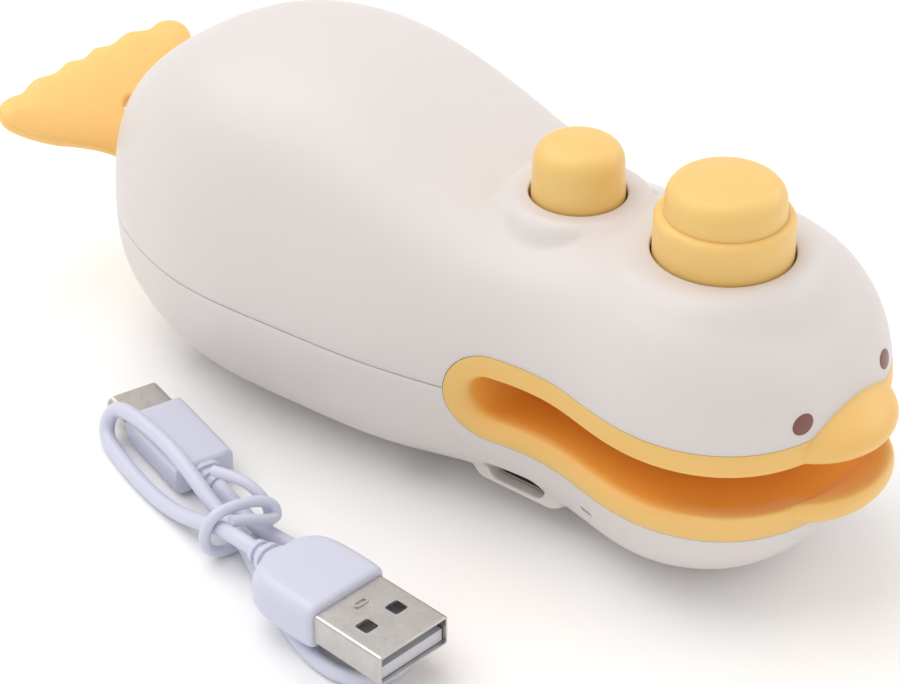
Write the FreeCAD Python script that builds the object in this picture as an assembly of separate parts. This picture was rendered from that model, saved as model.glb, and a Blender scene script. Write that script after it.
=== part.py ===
import FreeCAD, Part
import math
import os

# Handheld bag heat sealer in the shape of a resting duck, with its USB charging lead beside it.
# Frame: +X toward the beak, +Z up, the origin on the table under the middle of the duck.
# All sizes are in millimetres. The "parting plane" is the horizontal joint of the two casing
# halves, and it is also the middle height of the mouth slot.

V = FreeCAD.Vector
X_AXIS = V(1, 0, 0)
Y_AXIS = V(0, 1, 0)
Z_AXIS = V(0, 0, 1)
ORIGIN = V(0, 0, 0)
FAR = 90.0                # beyond the object on every side, for cutting blocks
FIT = 0.1                 # room round a piece that is set into another
os.makedirs("parts", exist_ok=True)

# --- casing ---------------------------------------------------------------------------------
REAR_X = -54.2            # rear end of the casing
LENGTH = 122.4            # length of the casing without the tail and the lips
PARTING_Z = 21.5          # height of the parting plane above the table
WALL = 2.0                # casing wall
PARTING_GAP = 0.15        # joint line between the two halves
UPPER_FULLNESS = 0.76     # squareness of the section above the parting plane (0.55 is an ellipse)
LOWER_FULLNESS = 0.68     # squareness below it
# Control stations of the casing, rear to front: place along the length as a share of it, half
# width, height above and depth below the parting plane.
STATIONS = [
    (0.00, 0.0, 0.0, 0.0),
    (0.00, 14.0, 17.0, 13.5),
    (0.10, 21.4, 28.0, 19.7),
    (0.22, 26.2, 31.5, 22.0),
    (0.35, 25.1, 31.2, 22.0),
    (0.48, 24.5, 24.5, 22.0),
    (0.60, 21.2, 20.1, 18.6),
    (0.72, 18.0, 22.6, 21.2),
    (0.86, 26.2, 28.0, 22.6),
    (1.00, 15.7, 14.2, 13.4),
    (1.00, 0.0, 0.0, 0.0),
]

# --- mouth ----------------------------------------------------------------------------------
SLOT_HALF = 3.6           # half height of the mouth slot
LINER_HALF = 6.85         # half height of the yellow liner round the slot
SLOT_ARC_X = 24.2         # centre of the round rear end of the slot
LIP_X = 61.2              # centre of both lips
UPPER_LIP = (11.0, 11.4, 4.6)     # half axes of the upper lip
UPPER_LIP_Z = 26.3
UPPER_LIP_CUT = 24.6      # flat underside of the upper lip
LOWER_LIP = (10.8, 12.4, 5.1)
LOWER_LIP_Z = 17.9
DISH = (9.6, 11.3, 5.6)   # hollow in the top of the lower lip
DISH_Z = 23.5
LIP_RIM_Z = 20.2          # height of the lower lip's rim
EYE_HALF = (1.55, 1.25)   # half axes of each oval eye
EYE_START = (61.5, 5.9, 30.8)      # inner end of the eye's axis, on the left side
EYE_TURN = 40.0           # the eyes look this far out to the sides
EYE_DEPTH = 0.6

# --- seal button and its press --------------------------------------------------------------
SEAL_X = 46.2
SEAL_TRAVEL = 6.2
SEAL_HOLE = 9.5
SEAL_LOWER_R = 9.2
SEAL_UPPER_R = 7.95
SEAL_STEP_Z = 50.2        # groove between the two tiers
SEAL_TOP_Z = 55.0
SEAL_SKIRT_Z = 41.0       # lower edge of the button inside the casing
SEAL_ROUNDING = (1.4, 1.3)         # of the lower and the upper tier
SEAL_BORE = (7.7, 48.5)   # radius and ceiling of the hollow in the lower tier
SEAL_BORE_TOP = (6.4, 53.0)        # and in the upper tier
CEILING_Z = PARTING_Z + SLOT_HALF
FLOOR_Z = PARTING_Z - SLOT_HALF
FILM = 0.3                # thickness of the heating strip, and of the film over it
FILM_Z = CEILING_Z - FILM          # lowest face of the heater at rest
FILM_SIZE = (8.0, 19.6)
STRIP_SIZE = (3.0, 19.0)
HOLDER_SIZE = (9.0, 20.0)
HOLDER_TOP = 31.0
PAD_SIZE = (8.0, 24.0, 1.5)
PAD_PROUD = 0.5

# --- cutter button --------------------------------------------------------------------------
CUT_X = 22.9
CUT_TRAVEL = 7.2
CUT_R = 6.35
CUT_HOLE = 6.65
CUT_SEAT_Z = 44.3         # top of the raised round seat of the cutter button
CUT_TOP_Z = 52.1
CUT_SKIRT_Z = 42.6
CUT_BORE = 5.0            # hollow inside the button
CUT_CEILING_Z = 50.0
CUT_ROUNDING = 1.2
CUT_SEAT_R = 9.0
CUT_SEAT_BASE_R = 13.0
CUT_SEAT_HEIGHT = 5.0
BLADE_TIP_Z = 24.9
BLADE_POINT = 2.4         # height of the blade's point
BLADE_ROOT = 1.0          # from the carrier's top to the blade's
BLADE_ROOM = (1.2, 8.0, 1.6)       # width, length and floor depth of the slit that it runs in
BLADE_SIZE = (0.5, 6.0)
CARRIER_SIZE = (3.0, 6.4)
CARRIER_Z = 36.0          # underside of the blade carrier at rest
CARRIER_TOP = 39.0

# --- frame that guides both buttons ---------------------------------------------------------
PLATE_Z = 32.5
PLATE_T = 1.5
PLATE = (15.0, 59.0, 12.0)         # rear end, front end, half width
POST_SPOTS = [(33, 11), (33, -11), (57, 10), (57, -10)]
POST_HALF = 1.5
SWITCH_X = SEAL_X + 8.45  # under the seal button's skirt
SWITCH_HALF = 3.0
SWITCH_HEIGHT = 3.5
SWITCH_R = 1.6
SWITCH_TOP_Z = 34.5
SWITCH_HOLE = 2.2
STEM_R = 2.5
CUT_STEM_R = 1.4
RUN_GAP = 0.3             # gap round each moving stem
SPRING_WIRE = 0.35        # wire radius of the return springs
SPRING_TURNS = 6
SEAL_SPRING_R = 4.0
CUT_SPRING_R = 4.2

# --- port, light, battery -------------------------------------------------------------------
PORT_X = 25.3
PORT_Z = 7.1
PORT_FACE_Y = -15.6       # flat face of the boss round the charging port
PORT_OPENING = (9.8, 2.7)
PORT_BOSS = (16.0, 5.6)
PORT_RECESS = 1.6         # from the boss face to the receptacle
RECEPTACLE = (8.94, 3.26, 7.3)     # width, height, depth
RECEPTACLE_WALL = 0.3
TONGUE = (6.6, 0.7)
TONGUE_RECESS = 0.7       # from the receptacle's mouth to its tongue
LIGHT_X = 40.0
LIGHT_Z = 10.6
LIGHT_SIZE = (2.2, 1.0)
CELL_R = 7.1
CELL_LENGTH = 50.0
CELL_X = -42.0            # rear end of the cell
CELL_Z = 12.5
BOARD_Z = 8.75
BOARD_T = 1.2
BOARD = (13.0, 52.0, 9.5)          # rear end, front end, half width
CHIPS = [(31, 36, -3, 2, 1.0), (40, 43, 2, 6, 1.4), (38, 42, -8, -5, 0.8)]
CRADLE = (-38.0, 4.0, 9.5)
CRADLE_NOTCHES = (-30.0, -8.0)
CRADLE_NOTCH = 14.0
WIRE_R = 0.5
SCREW_SPOTS = [(-34.0, -14.0), (-34.0, 14.0), (8.0, -14.0), (8.0, 14.0)]
BOSS_R = 3.2
SHANK_R = 1.1
SHANK_LENGTH = 16.0
HEAD_R = 2.2
HEAD_HEIGHT = 1.7
HEAD_Z = 12.0             # the screw head bears on the lower boss at this height
UPPER_BOSS_LENGTH = 26.0
CROSS = (1.3, 0.3, 1.0)   # arm, half width and depth of the recess in a screw head

# --- feet -----------------------------------------------------------------------------------
FOOT_SPOTS = [(-22.0, -6.5), (-22.0, 6.5), (41.8, -3.2), (41.8, 3.2)]
FOOT_R = 2.2
FOOT_HEIGHT = 0.9
BASE_Z = 0.25             # the casing's flat underside stands this high on its feet

# --- tail -----------------------------------------------------------------------------------
TAIL_TILT = 32.0          # the tail leans back and up at this angle
TAIL_T = 3.2
TAIL_ROOT = 6.5           # half width of the tail where it enters the casing
TAIL_DEPTH = 5.0          # the tenon reaches this far into the casing
TAIL_FLANGE = (7.0, 1.4, 2.2)      # half width, length and half height of the flange inside
# Outline of the tail's left half, as (y across, t along), then the hole to hang it by.
TAIL_HALF = [(6.5, 2.2), (7.9, 5.0), (11.2, 8.0), (14.9, 10.7), (17.9, 13.9), (19.3, 16.7),
             (18.3, 18.9), (15.8, 19.7), (13.4, 19.4), (9.7, 20.4), (5.9, 19.9), (2.8, 20.5)]
TAIL_FOOT = 1.6
TAIL_TIP = 19.9
TAIL_HOLE = [(0, 4.0), (1.5, 4.9), (2.1, 7.2), (1.5, 9.6), (0, 10.5), (-1.5, 9.6),
             (-2.1, 7.2), (-1.5, 4.9)]

# --- charging lead --------------------------------------------------------------------------
CORD_R = 1.1
A_TIP = (37.6, -51.6)     # tip of the USB-A plug on the table
A_ANGLE = -5.0
A_Z = 6.4                 # height of its middle
A_SHELL = (12.0, 12.0, 4.5)
A_BODY = 13.0             # length of its overmould
A_RELIEF = 4.5
C_TIP = (-33.0, -30.6)
C_ANGLE = 162.0
C_Z = 2.9
C_SHELL = (6.65, 8.25, 2.4)
C_BODY = 15.5
C_RELIEF = 3.5
A_WALL = 0.35             # sheet of the plug's metal shell
A_ROUNDING = 0.5
A_WINDOWS = (-6.9, -4.7, 2.6, 1.1)     # rear and front edge, middle and half width of each window
A_TONGUE = (0.6, 5.5, 0.45, 2.3)   # from the tip, half width, underside and top above the shell's floor
A_NECK = (5.0, 3.6)       # length of the overmould's taper and half width at its end
A_BODY_HALF = (6.9, 3.5)
A_BODY_ROUNDING = 1.0
A_RELIEF_R = (2.4, 1.7)
C_WALL = (0.6, 0.45)
C_ROUNDING = 1.15
C_BODY_HALF = (4.6, 2.35)
C_BODY_ROUNDING = 0.9
C_RELIEF_R = (2.1, 1.6)
TIE_R = 0.8
TIE_PLACE = (0.7, -44.5)
TIE_TURN = -14.0
TIE_HALF = 5.4            # half width of the loop
TIE_HIGH = 7.8
TIE_CORNER = 2.5


def save(shape, name):
    shape.exportStep("parts/" + name + ".step")
    box = shape.BoundBox
    print("%-18s volume %9.1f  valid %s  x %.1f %.1f  y %.1f %.1f  z %.1f %.1f" % (
        name, shape.Volume, shape.isValid(), box.XMin, box.XMax, box.YMin, box.YMax,
        box.ZMin, box.ZMax))


def block(x0, x1, y0, y1, z0, z1):
    return Part.makeBox(x1 - x0, y1 - y0, z1 - z0, V(x0, y0, z0))


def rod(x, y, z0, z1, radius):
    return Part.makeCylinder(radius, z1 - z0, V(x, y, z0))


def ellipsoid(centre, half_axes):
    ball = Part.makeSphere(1.0)
    stretch = FreeCAD.Matrix()
    stretch.scale(V(*half_axes))
    solid = ball.transformGeometry(stretch)
    solid.translate(V(*centre))
    return solid


def section_face(side, inset):
    """Upper (side +1) or lower (side -1) skin of the casing, moved in by inset."""
    full = UPPER_FULLNESS if side > 0 else LOWER_FULLNESS
    across = [(-1, 0), (-1, full), (-full, 1), (0, 1), (full, 1), (1, full), (1, 0)]
    length = LENGTH - 2 * inset
    poles = []
    for share, half, up, down in STATIONS:
        reach = up if side > 0 else down
        wide = max(half - inset, 0.0)
        high = max(reach - inset, 0.0)
        x = REAR_X + inset + length * share
        poles.append([V(x, wide * a, PARTING_Z + side * high * b) for a, b in across])
    spans = len(STATIONS) - 3
    knots = [i / spans for i in range(spans + 1)]
    skin = Part.BSplineSurface()
    skin.buildFromPolesMultsKnots(poles, [4] + [1] * (spans - 1) + [4], [4, 3, 4],
                                  knots, [0.0, 0.5, 1.0], False, False, 3, 3)
    return skin.toShape()


def casing(inset=0.0):
    """Closed solid inside the outer skin of the casing, moved in by inset."""
    faces = [section_face(1, inset), section_face(-1, inset)]
    shell = Part.makeShell(faces)
    shell.sewShape()
    solid = Part.makeSolid(shell)
    if solid.Volume < 0:
        solid.reverse()
    return solid


def upper_half(gap=0.0):
    return block(-FAR, FAR, -FAR, FAR, PARTING_Z + gap, FAR)


def slot_prism(half):
    """The mouth slot's outline, round at the rear, run right across the head."""
    top = PARTING_Z + half
    low = PARTING_Z - half
    arc = Part.Arc(V(SLOT_ARC_X, -FAR, top), V(SLOT_ARC_X - half, -FAR, PARTING_Z),
                   V(SLOT_ARC_X, -FAR, low))
    sides = [Part.LineSegment(V(SLOT_ARC_X, -FAR, low), V(FAR, -FAR, low)),
             Part.LineSegment(V(FAR, -FAR, low), V(FAR, -FAR, top)),
             Part.LineSegment(V(FAR, -FAR, top), V(SLOT_ARC_X, -FAR, top))]
    wire = Part.Wire([arc.toShape()] + [s.toShape() for s in sides])
    return Part.Face(wire).extrude(V(0, 2 * FAR, 0))


def tail_point(y, t, n=0.0):
    """Point of the tail: y across, t along it from the casing's rear end, n above its plane."""
    a = math.radians(TAIL_TILT)
    return V(REAR_X - t * math.cos(a) + n * math.sin(a), y,
             PARTING_Z + t * math.sin(a) + n * math.cos(a))


def tail_slab(points, low, high):
    """Slab whose smooth outline passes through points (y, t), between two heights."""
    curve = Part.BSplineCurve()
    curve.interpolate([tail_point(y, t, low) for y, t in points], PeriodicFlag=True)
    face = Part.Face(Part.Wire([curve.toShape()]))
    return face.extrude(tail_point(0, 0, high) - tail_point(0, 0, low))


def tail_block(half, t0, t1, low, high):
    corners = [tail_point(-half, t0, low), tail_point(half, t0, low),
               tail_point(half, t1, low), tail_point(-half, t1, low)]
    face = Part.Face(Part.makePolygon(corners + corners[:1]))
    return face.extrude(tail_point(0, 0, high) - tail_point(0, 0, low))


def tail_tenon(grow=0.0):
    half = TAIL_ROOT - 0.5 + grow
    return tail_block(half, -TAIL_DEPTH, 2.0, -TAIL_T / 2 - grow, TAIL_T / 2 + grow)


def port_box(width, height, y0, y1):
    """Slot with round ends, width by height, round the port's axis."""
    r = height / 2
    half = width / 2 - r
    low = PORT_Z - r
    high = PORT_Z + r
    arcs = [Part.Arc(V(PORT_X - half, y0, low), V(PORT_X - half - r, y0, PORT_Z),
                     V(PORT_X - half, y0, high)).toShape(),
            Part.Arc(V(PORT_X + half, y0, high), V(PORT_X + half + r, y0, PORT_Z),
                     V(PORT_X + half, y0, low)).toShape()]
    sides = [Part.LineSegment(V(PORT_X - half, y0, high), V(PORT_X + half, y0, high)).toShape(),
             Part.LineSegment(V(PORT_X + half, y0, low), V(PORT_X - half, y0, low)).toShape()]
    wire = Part.Wire([arcs[0], sides[0], arcs[1], sides[1]])
    return Part.Face(wire).extrude(V(0, y1 - y0, 0))


def eye_prism(side):
    """Oval column that stands across the skin where an eye sits."""
    oval = Part.Ellipse(ORIGIN, EYE_HALF[0], EYE_HALF[1])
    face = Part.Face(Part.Wire([oval.toShape()]))
    column = face.extrude(V(0, 0, 12))
    column.rotate(ORIGIN, Z_AXIS, 90)
    column.rotate(ORIGIN, Y_AXIS, 90)
    column.rotate(ORIGIN, Z_AXIS, EYE_TURN * side)
    x, y, z = EYE_START
    column.translate(V(x, y * side, z))
    return column


def tube(points, radius, name):
    """Round tube of straight runs joined by the largest arcs that the runs allow."""
    points = [V(*p) for p in points]
    edges = []
    start = points[0]
    radii = []
    for i in range(1, len(points) - 1):
        back = points[i - 1] - points[i]
        ahead = points[i + 1] - points[i]
        turn = math.pi - back.getAngle(ahead)
        cut = 0.45 * min(back.Length, ahead.Length)
        bend = cut / math.tan(turn / 2)
        radii.append(bend)
        into = points[i] + back.normalize() * cut
        out = points[i] + ahead.normalize() * cut
        middle = (into + out) * 0.5
        centre = points[i] + (middle - points[i]).normalize() * math.hypot(bend, cut)
        crown = centre + (points[i] - centre).normalize() * bend
        edges.append(Part.LineSegment(start, into).toShape())
        edges.append(Part.Arc(into, crown, out).toShape())
        start = out
    edges.append(Part.LineSegment(start, points[-1]).toShape())
    path = Part.Wire(edges)
    circle = Part.Circle(points[0], (points[1] - points[0]).normalize(), radius)
    solid = path.makePipeShell([Part.Wire([circle.toShape()])], True, False)
    expect = math.pi * radius ** 2 * path.Length
    print("%s: length %.1f, radii %s, volume %.1f of %.1f" % (
        name, path.Length, " ".join("%.1f" % r for r in radii), solid.Volume, expect))
    return solid


def spring(x, z0, z1, mean_radius):
    """Return spring: a helix of round wire."""
    height = z1 - z0 - 2 * SPRING_WIRE
    helix = Part.makeHelix(height / SPRING_TURNS, height, mean_radius)
    helix.translate(V(x, 0, z0 + SPRING_WIRE))
    circle = Part.Circle(V(x + mean_radius, 0, z0 + SPRING_WIRE), Y_AXIS, SPRING_WIRE)
    return Part.Wire(helix.Edges).makePipeShell([Part.Wire([circle.toShape()])], True, True)


def place(shape, tip, angle, height):
    """Put a plug, built with its tip at 0 and its body toward -X, on the table."""
    shape.rotate(ORIGIN, Z_AXIS, angle)
    shape.translate(V(tip[0], tip[1], height))
    return shape


# --- casing pieces --------------------------------------------------------------------------

def screw_bosses(z0, z1, outer):
    bosses = rod(SCREW_SPOTS[0][0], SCREW_SPOTS[0][1], z0, z1, BOSS_R)
    for x, y in SCREW_SPOTS[1:]:
        bosses = bosses.fuse(rod(x, y, z0, z1, BOSS_R))
    return bosses.common(outer)


def make_upper_shell(outer, inner):
    seat = Part.makeCone(CUT_SEAT_BASE_R, CUT_SEAT_R, CUT_SEAT_HEIGHT,
                         V(CUT_X, 0, CUT_SEAT_Z - CUT_SEAT_HEIGHT))
    shell = outer.fuse(seat).common(upper_half(PARTING_GAP)).cut(inner)
    shell = shell.fuse(screw_bosses(PARTING_Z + PARTING_GAP, PARTING_Z + UPPER_BOSS_LENGTH, outer))
    shell = shell.cut(slot_prism(LINER_HALF))
    shell = shell.cut(rod(SEAL_X, 0, PLATE_Z, FAR, SEAL_HOLE))
    shell = shell.cut(rod(CUT_X, 0, PLATE_Z, FAR, CUT_HOLE))
    for x, y in SCREW_SPOTS:
        shell = shell.cut(rod(x, y, PARTING_Z, HEAD_Z + SHANK_LENGTH + 1, SHANK_R + FIT / 2))
    shell = shell.cut(tail_tenon(FIT))
    for side in (-1, 1):
        shell = shell.cut(eye_prism(side).cut(casing(EYE_DEPTH)))
    return shell


def make_lower_shell(outer, inner):
    boss = port_box(PORT_BOSS[0], PORT_BOSS[1], PORT_FACE_Y, -10)
    boss = boss.makeFillet(1.0, [e for e in boss.Edges if e.BoundBox.YMax < PORT_FACE_Y + 0.01])
    shell = outer.fuse(boss).cut(upper_half()).cut(inner)
    shell = shell.common(block(-FAR, FAR, -FAR, FAR, BASE_Z, PARTING_Z))
    shell = shell.fuse(screw_bosses(BASE_Z, PARTING_Z, outer))
    for x, y in FOOT_SPOTS:
        shell = shell.cut(rod(x, y, -1, FOOT_HEIGHT, FOOT_R + FIT))
    shell = shell.cut(slot_prism(LINER_HALF))
    for x, y in SCREW_SPOTS:
        shell = shell.cut(rod(x, y, HEAD_Z, PARTING_Z, SHANK_R + FIT / 2))
        shell = shell.cut(rod(x, y, -1, HEAD_Z, HEAD_R + 3 * FIT))
    shell = shell.cut(tail_tenon(FIT))
    mouth = PORT_FACE_Y + PORT_RECESS
    shell = shell.cut(port_box(PORT_OPENING[0], PORT_OPENING[1], -FAR, mouth))
    shell = shell.cut(port_box(RECEPTACLE[0] + 2 * FIT, RECEPTACLE[1] + 2 * FIT, mouth,
                               mouth + RECEPTACLE[2]))
    return shell.cut(light_prism())


def make_mouth_liner(outer):
    band = slot_prism(LINER_HALF).common(outer)
    above = block(-FAR, FAR, -FAR, FAR, UPPER_LIP_CUT, FAR)
    below = block(-FAR, FAR, -FAR, FAR, 0, LIP_RIM_Z)
    beyond = block(LIP_X, FAR, -FAR, FAR, 0, FAR)
    top_lip = ellipsoid((LIP_X, 0, UPPER_LIP_Z), UPPER_LIP).common(above).common(beyond)
    low_lip = ellipsoid((LIP_X, 0, LOWER_LIP_Z), LOWER_LIP).common(below).common(beyond)
    low_lip = low_lip.cut(ellipsoid((LIP_X, 0, DISH_Z), DISH))
    liner = band.cut(slot_prism(SLOT_HALF))
    liner = liner.fuse(top_lip.cut(outer)).fuse(low_lip.cut(outer))
    half_x = HOLDER_SIZE[0] / 2 + RUN_GAP
    half_y = HOLDER_SIZE[1] / 2 + RUN_GAP
    window = block(SEAL_X - half_x, SEAL_X + half_x, -half_y, half_y, PARTING_Z, PLATE_Z)
    wide, long, deep = BLADE_ROOM
    blade_slit = block(CUT_X - wide / 2, CUT_X + wide / 2, -long / 2, long / 2,
                       FLOOR_Z - deep, PLATE_Z)
    return liner.cut(window).cut(blade_slit).cut(make_anvil_pad())


def make_anvil_pad():
    long, wide, thick = PAD_SIZE
    top = FLOOR_Z + PAD_PROUD
    return block(SEAL_X - long / 2, SEAL_X + long / 2, -wide / 2, wide / 2, top - thick, top)


def light_prism():
    long, high = LIGHT_SIZE
    return block(LIGHT_X - long / 2, LIGHT_X + long / 2, -FAR, -16, LIGHT_Z - high / 2,
                 LIGHT_Z + high / 2)


def make_charge_light(outer):
    return light_prism().common(outer)


def make_tail():
    right = [(-y, t) for y, t in reversed(TAIL_HALF)]
    outline = [(0, TAIL_FOOT)] + TAIL_HALF + [(0, TAIL_TIP)] + right
    slab = tail_slab(outline, -TAIL_T / 2, TAIL_T / 2)
    slab = slab.cut(tail_slab(TAIL_HOLE, -TAIL_T, TAIL_T))
    half, long, high = TAIL_FLANGE
    flange = tail_block(half, -TAIL_DEPTH - long, -TAIL_DEPTH, -high, high)
    return slab.cut(casing(-FIT / 2)).fuse(tail_tenon()).fuse(flange)


def make_screws():
    screws = []
    arm, half, deep = CROSS
    low = HEAD_Z - HEAD_HEIGHT
    for x, y in SCREW_SPOTS:
        head = rod(x, y, low, HEAD_Z, HEAD_R)
        head = head.cut(block(x - arm, x + arm, y - half, y + half, low, low + deep))
        head = head.cut(block(x - half, x + half, y - arm, y + arm, low, low + deep))
        screws.append(head.fuse(rod(x, y, HEAD_Z, HEAD_Z + SHANK_LENGTH, SHANK_R)))
    return Part.makeCompound(screws)


def make_feet():
    return Part.makeCompound([rod(x, y, 0, FOOT_HEIGHT, FOOT_R) for x, y in FOOT_SPOTS])


def make_receptacle():
    wide, high, deep = RECEPTACLE
    y0 = PORT_FACE_Y + PORT_RECESS
    room = port_box(wide - 2 * RECEPTACLE_WALL, high - 2 * RECEPTACLE_WALL, y0,
                    y0 + deep - RECEPTACLE_WALL)
    return port_box(wide, high, y0, y0 + deep).cut(room)


def make_port_tongue():
    wide, thick = TONGUE
    y0 = PORT_FACE_Y + PORT_RECESS
    return block(PORT_X - wide / 2, PORT_X + wide / 2, y0 + TONGUE_RECESS,
                 y0 + RECEPTACLE[2] - RECEPTACLE_WALL, PORT_Z - thick / 2, PORT_Z + thick / 2)


def make_board():
    rear, front, half = BOARD
    top = BOARD_Z + BOARD_T
    board = block(rear, front, -half, half, BOARD_Z, top)
    for x0, x1, y0, y1, high in CHIPS:
        board = board.fuse(block(x0, x1, y0, y1, top, top + high))
    return board


def make_battery():
    can = Part.makeCylinder(CELL_R, CELL_LENGTH - 1, V(CELL_X, 0, CELL_Z), X_AXIS)
    cap = Part.makeCylinder(2.5, 1.0, V(CELL_X + CELL_LENGTH - 1, 0, CELL_Z), X_AXIS)
    return can.fuse(cap)


def make_cradle(inner):
    rear, front, half = CRADLE
    cradle = block(rear, front, -half, half, 0, CELL_Z - 2.5)
    room = Part.makeCylinder(CELL_R + FIT / 2, CELL_LENGTH, V(CELL_X, 0, CELL_Z), X_AXIS)
    cradle = cradle.cut(room)
    for x in CRADLE_NOTCHES:
        cradle = cradle.cut(block(x, x + CRADLE_NOTCH, -FAR, FAR, 0, CELL_Z))
    return cradle.common(inner)


def make_battery_wires():
    front = CELL_X + CELL_LENGTH
    wires = []
    for y in (-1.4, 1.4):
        points = [(front, y, CELL_Z), (front + 3, y, CELL_Z), (front + 5.5, y * 1.8, 11.8),
                  (front + 8.4, y * 2, BOARD_Z + BOARD_T + WIRE_R + 0.05)]
        wires.append(tube(points, WIRE_R, "battery wire"))
    return Part.makeCompound(wires)


def make_guide_frame():
    rear, front, half = PLATE
    top = PLATE_Z + PLATE_T
    plate = block(rear, front, -half, half, PLATE_Z, top)
    for x, y in POST_SPOTS:
        plate = plate.fuse(block(x - POST_HALF, x + POST_HALF, y - POST_HALF, y + POST_HALF,
                                 PARTING_Z + LINER_HALF, PLATE_Z))
    plate = plate.cut(rod(SEAL_X, 0, PLATE_Z, top, STEM_R + RUN_GAP))
    half_x = CARRIER_SIZE[0] / 2 + RUN_GAP
    half_y = CARRIER_SIZE[1] / 2 + RUN_GAP
    plate = plate.cut(block(CUT_X - half_x, CUT_X + half_x, -half_y, half_y, PLATE_Z, top))
    return plate.cut(rod(SWITCH_X, 0, PLATE_Z, top, SWITCH_HOLE))


def make_seal_switch():
    low = PARTING_Z + LINER_HALF
    top = low + SWITCH_HEIGHT
    body = block(SWITCH_X - SWITCH_HALF, SWITCH_X + SWITCH_HALF, -SWITCH_HALF, SWITCH_HALF, low, top)
    return body.fuse(rod(SWITCH_X, 0, top, SWITCH_TOP_Z, SWITCH_R))


# --- seal press -----------------------------------------------------------------------------

def make_seal_button():
    low = rod(SEAL_X, 0, SEAL_SKIRT_Z, SEAL_STEP_Z, SEAL_LOWER_R)
    low = low.makeFillet(SEAL_ROUNDING[0], [low.Edges[0]])
    top = rod(SEAL_X, 0, SEAL_STEP_Z - 0.5, SEAL_TOP_Z, SEAL_UPPER_R)
    top = top.makeFillet(SEAL_ROUNDING[1], [top.Edges[0]])
    cap = low.fuse(top)
    cap = cap.cut(rod(SEAL_X, 0, SEAL_SKIRT_Z, SEAL_BORE[1], SEAL_BORE[0]))
    return cap.cut(rod(SEAL_X, 0, SEAL_SKIRT_Z, SEAL_BORE_TOP[1], SEAL_BORE_TOP[0]))


def make_plunger_stem():
    return rod(SEAL_X, 0, HOLDER_TOP, SEAL_BORE_TOP[1], STEM_R)


def make_heater_holder():
    return press_block(HOLDER_SIZE, FILM_Z + 2 * FILM, HOLDER_TOP)


def make_heating_strip():
    return press_block(STRIP_SIZE, FILM_Z + FILM, FILM_Z + 2 * FILM)


def make_heater_film():
    return press_block(FILM_SIZE, FILM_Z, FILM_Z + FILM)


def press_block(size, z0, z1):
    """Block of that length along X and width across Y, centred on the seal button's axis."""
    return block(SEAL_X - size[0] / 2, SEAL_X + size[0] / 2, -size[1] / 2, size[1] / 2, z0, z1)


# --- cutter ---------------------------------------------------------------------------------

def make_cutter_button():
    cap = rod(CUT_X, 0, CUT_SKIRT_Z, CUT_TOP_Z, CUT_R)
    cap = cap.makeFillet(CUT_ROUNDING, [cap.Edges[0]])
    return cap.cut(rod(CUT_X, 0, CUT_SKIRT_Z, CUT_CEILING_Z, CUT_BORE))


def make_blade_carrier():
    half_x = CARRIER_SIZE[0] / 2
    half_y = CARRIER_SIZE[1] / 2
    carrier = block(CUT_X - half_x, CUT_X + half_x, -half_y, half_y, CARRIER_Z, CARRIER_TOP)
    carrier = carrier.fuse(rod(CUT_X, 0, CARRIER_TOP, CUT_CEILING_Z, CUT_STEM_R))
    slit = BLADE_SIZE[0] / 2
    return carrier.cut(block(CUT_X - slit, CUT_X + slit, -half_y, half_y, CARRIER_Z,
                             CARRIER_TOP - BLADE_ROOT))


def make_blade():
    half = BLADE_SIZE[1] / 2
    x = CUT_X - BLADE_SIZE[0] / 2
    top = CARRIER_TOP - BLADE_ROOT
    shoulder = BLADE_TIP_Z + BLADE_POINT
    corners = [V(x, -half, top), V(x, half, top), V(x, half, shoulder), V(x, 0, BLADE_TIP_Z),
               V(x, -half, shoulder)]
    return Part.Face(Part.makePolygon(corners + corners[:1])).extrude(V(BLADE_SIZE[0], 0, 0))


# --- charging lead --------------------------------------------------------------------------

def along(tip, angle, distance, height):
    a = math.radians(angle)
    return (tip[0] - distance * math.cos(a), tip[1] - distance * math.sin(a), height)


A_REACH = A_SHELL[0] + A_BODY + A_RELIEF
C_REACH = C_SHELL[0] + C_BODY + C_RELIEF
# The cord from the USB-A plug up to the folded loop, back over the USB-C plug, down through
# the tie, round under the USB-A plug and back to the USB-C plug.
CORD_ROUTE = [
    along(A_TIP, A_ANGLE, A_REACH, A_Z),
    along(A_TIP, A_ANGLE, A_REACH + 3.8, A_Z),
    (0.4, -47.5, 5.3), (-4.4, -46.6, 3.4), (-9.8, -45.6, 1.7), (-15.4, -44.3, 1.15),
    (-20.6, -42.7, 1.15), (-25.4, -40.9, 1.15), (-29.6, -39.1, 1.2), (-31.0, -37.9, 2.5),
    (-30.7, -37.1, 4.5), (-29.1, -36.9, 5.9), (-25.2, -37.6, 6.5), (-20.0, -38.8, 6.6),
    (-14.6, -40.4, 6.6), (-9.4, -42.0, 5.4), (-4.2, -43.4, 3.7), (0.9, -44.7, 2.9),
    (5.6, -46.7, 1.7), (10.0, -49.2, 1.15), (14.8, -51.9, 1.15), (19.8, -54.3, 1.15),
    (25.0, -56.2, 1.15), (30.0, -56.4, 1.15), (33.9, -53.6, 1.15), (34.2, -48.8, 1.15),
    (30.9, -44.9, 1.15), (25.6, -42.6, 1.15), (20.0, -41.3, 1.15), (14.4, -40.6, 1.15),
    (9.0, -40.7, 1.3), (4.6, -41.4, 2.2), (0.6, -41.8, 2.9),
    along(C_TIP, C_ANGLE, C_REACH + 4.4, C_Z),
    along(C_TIP, C_ANGLE, C_REACH, C_Z),
]


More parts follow.
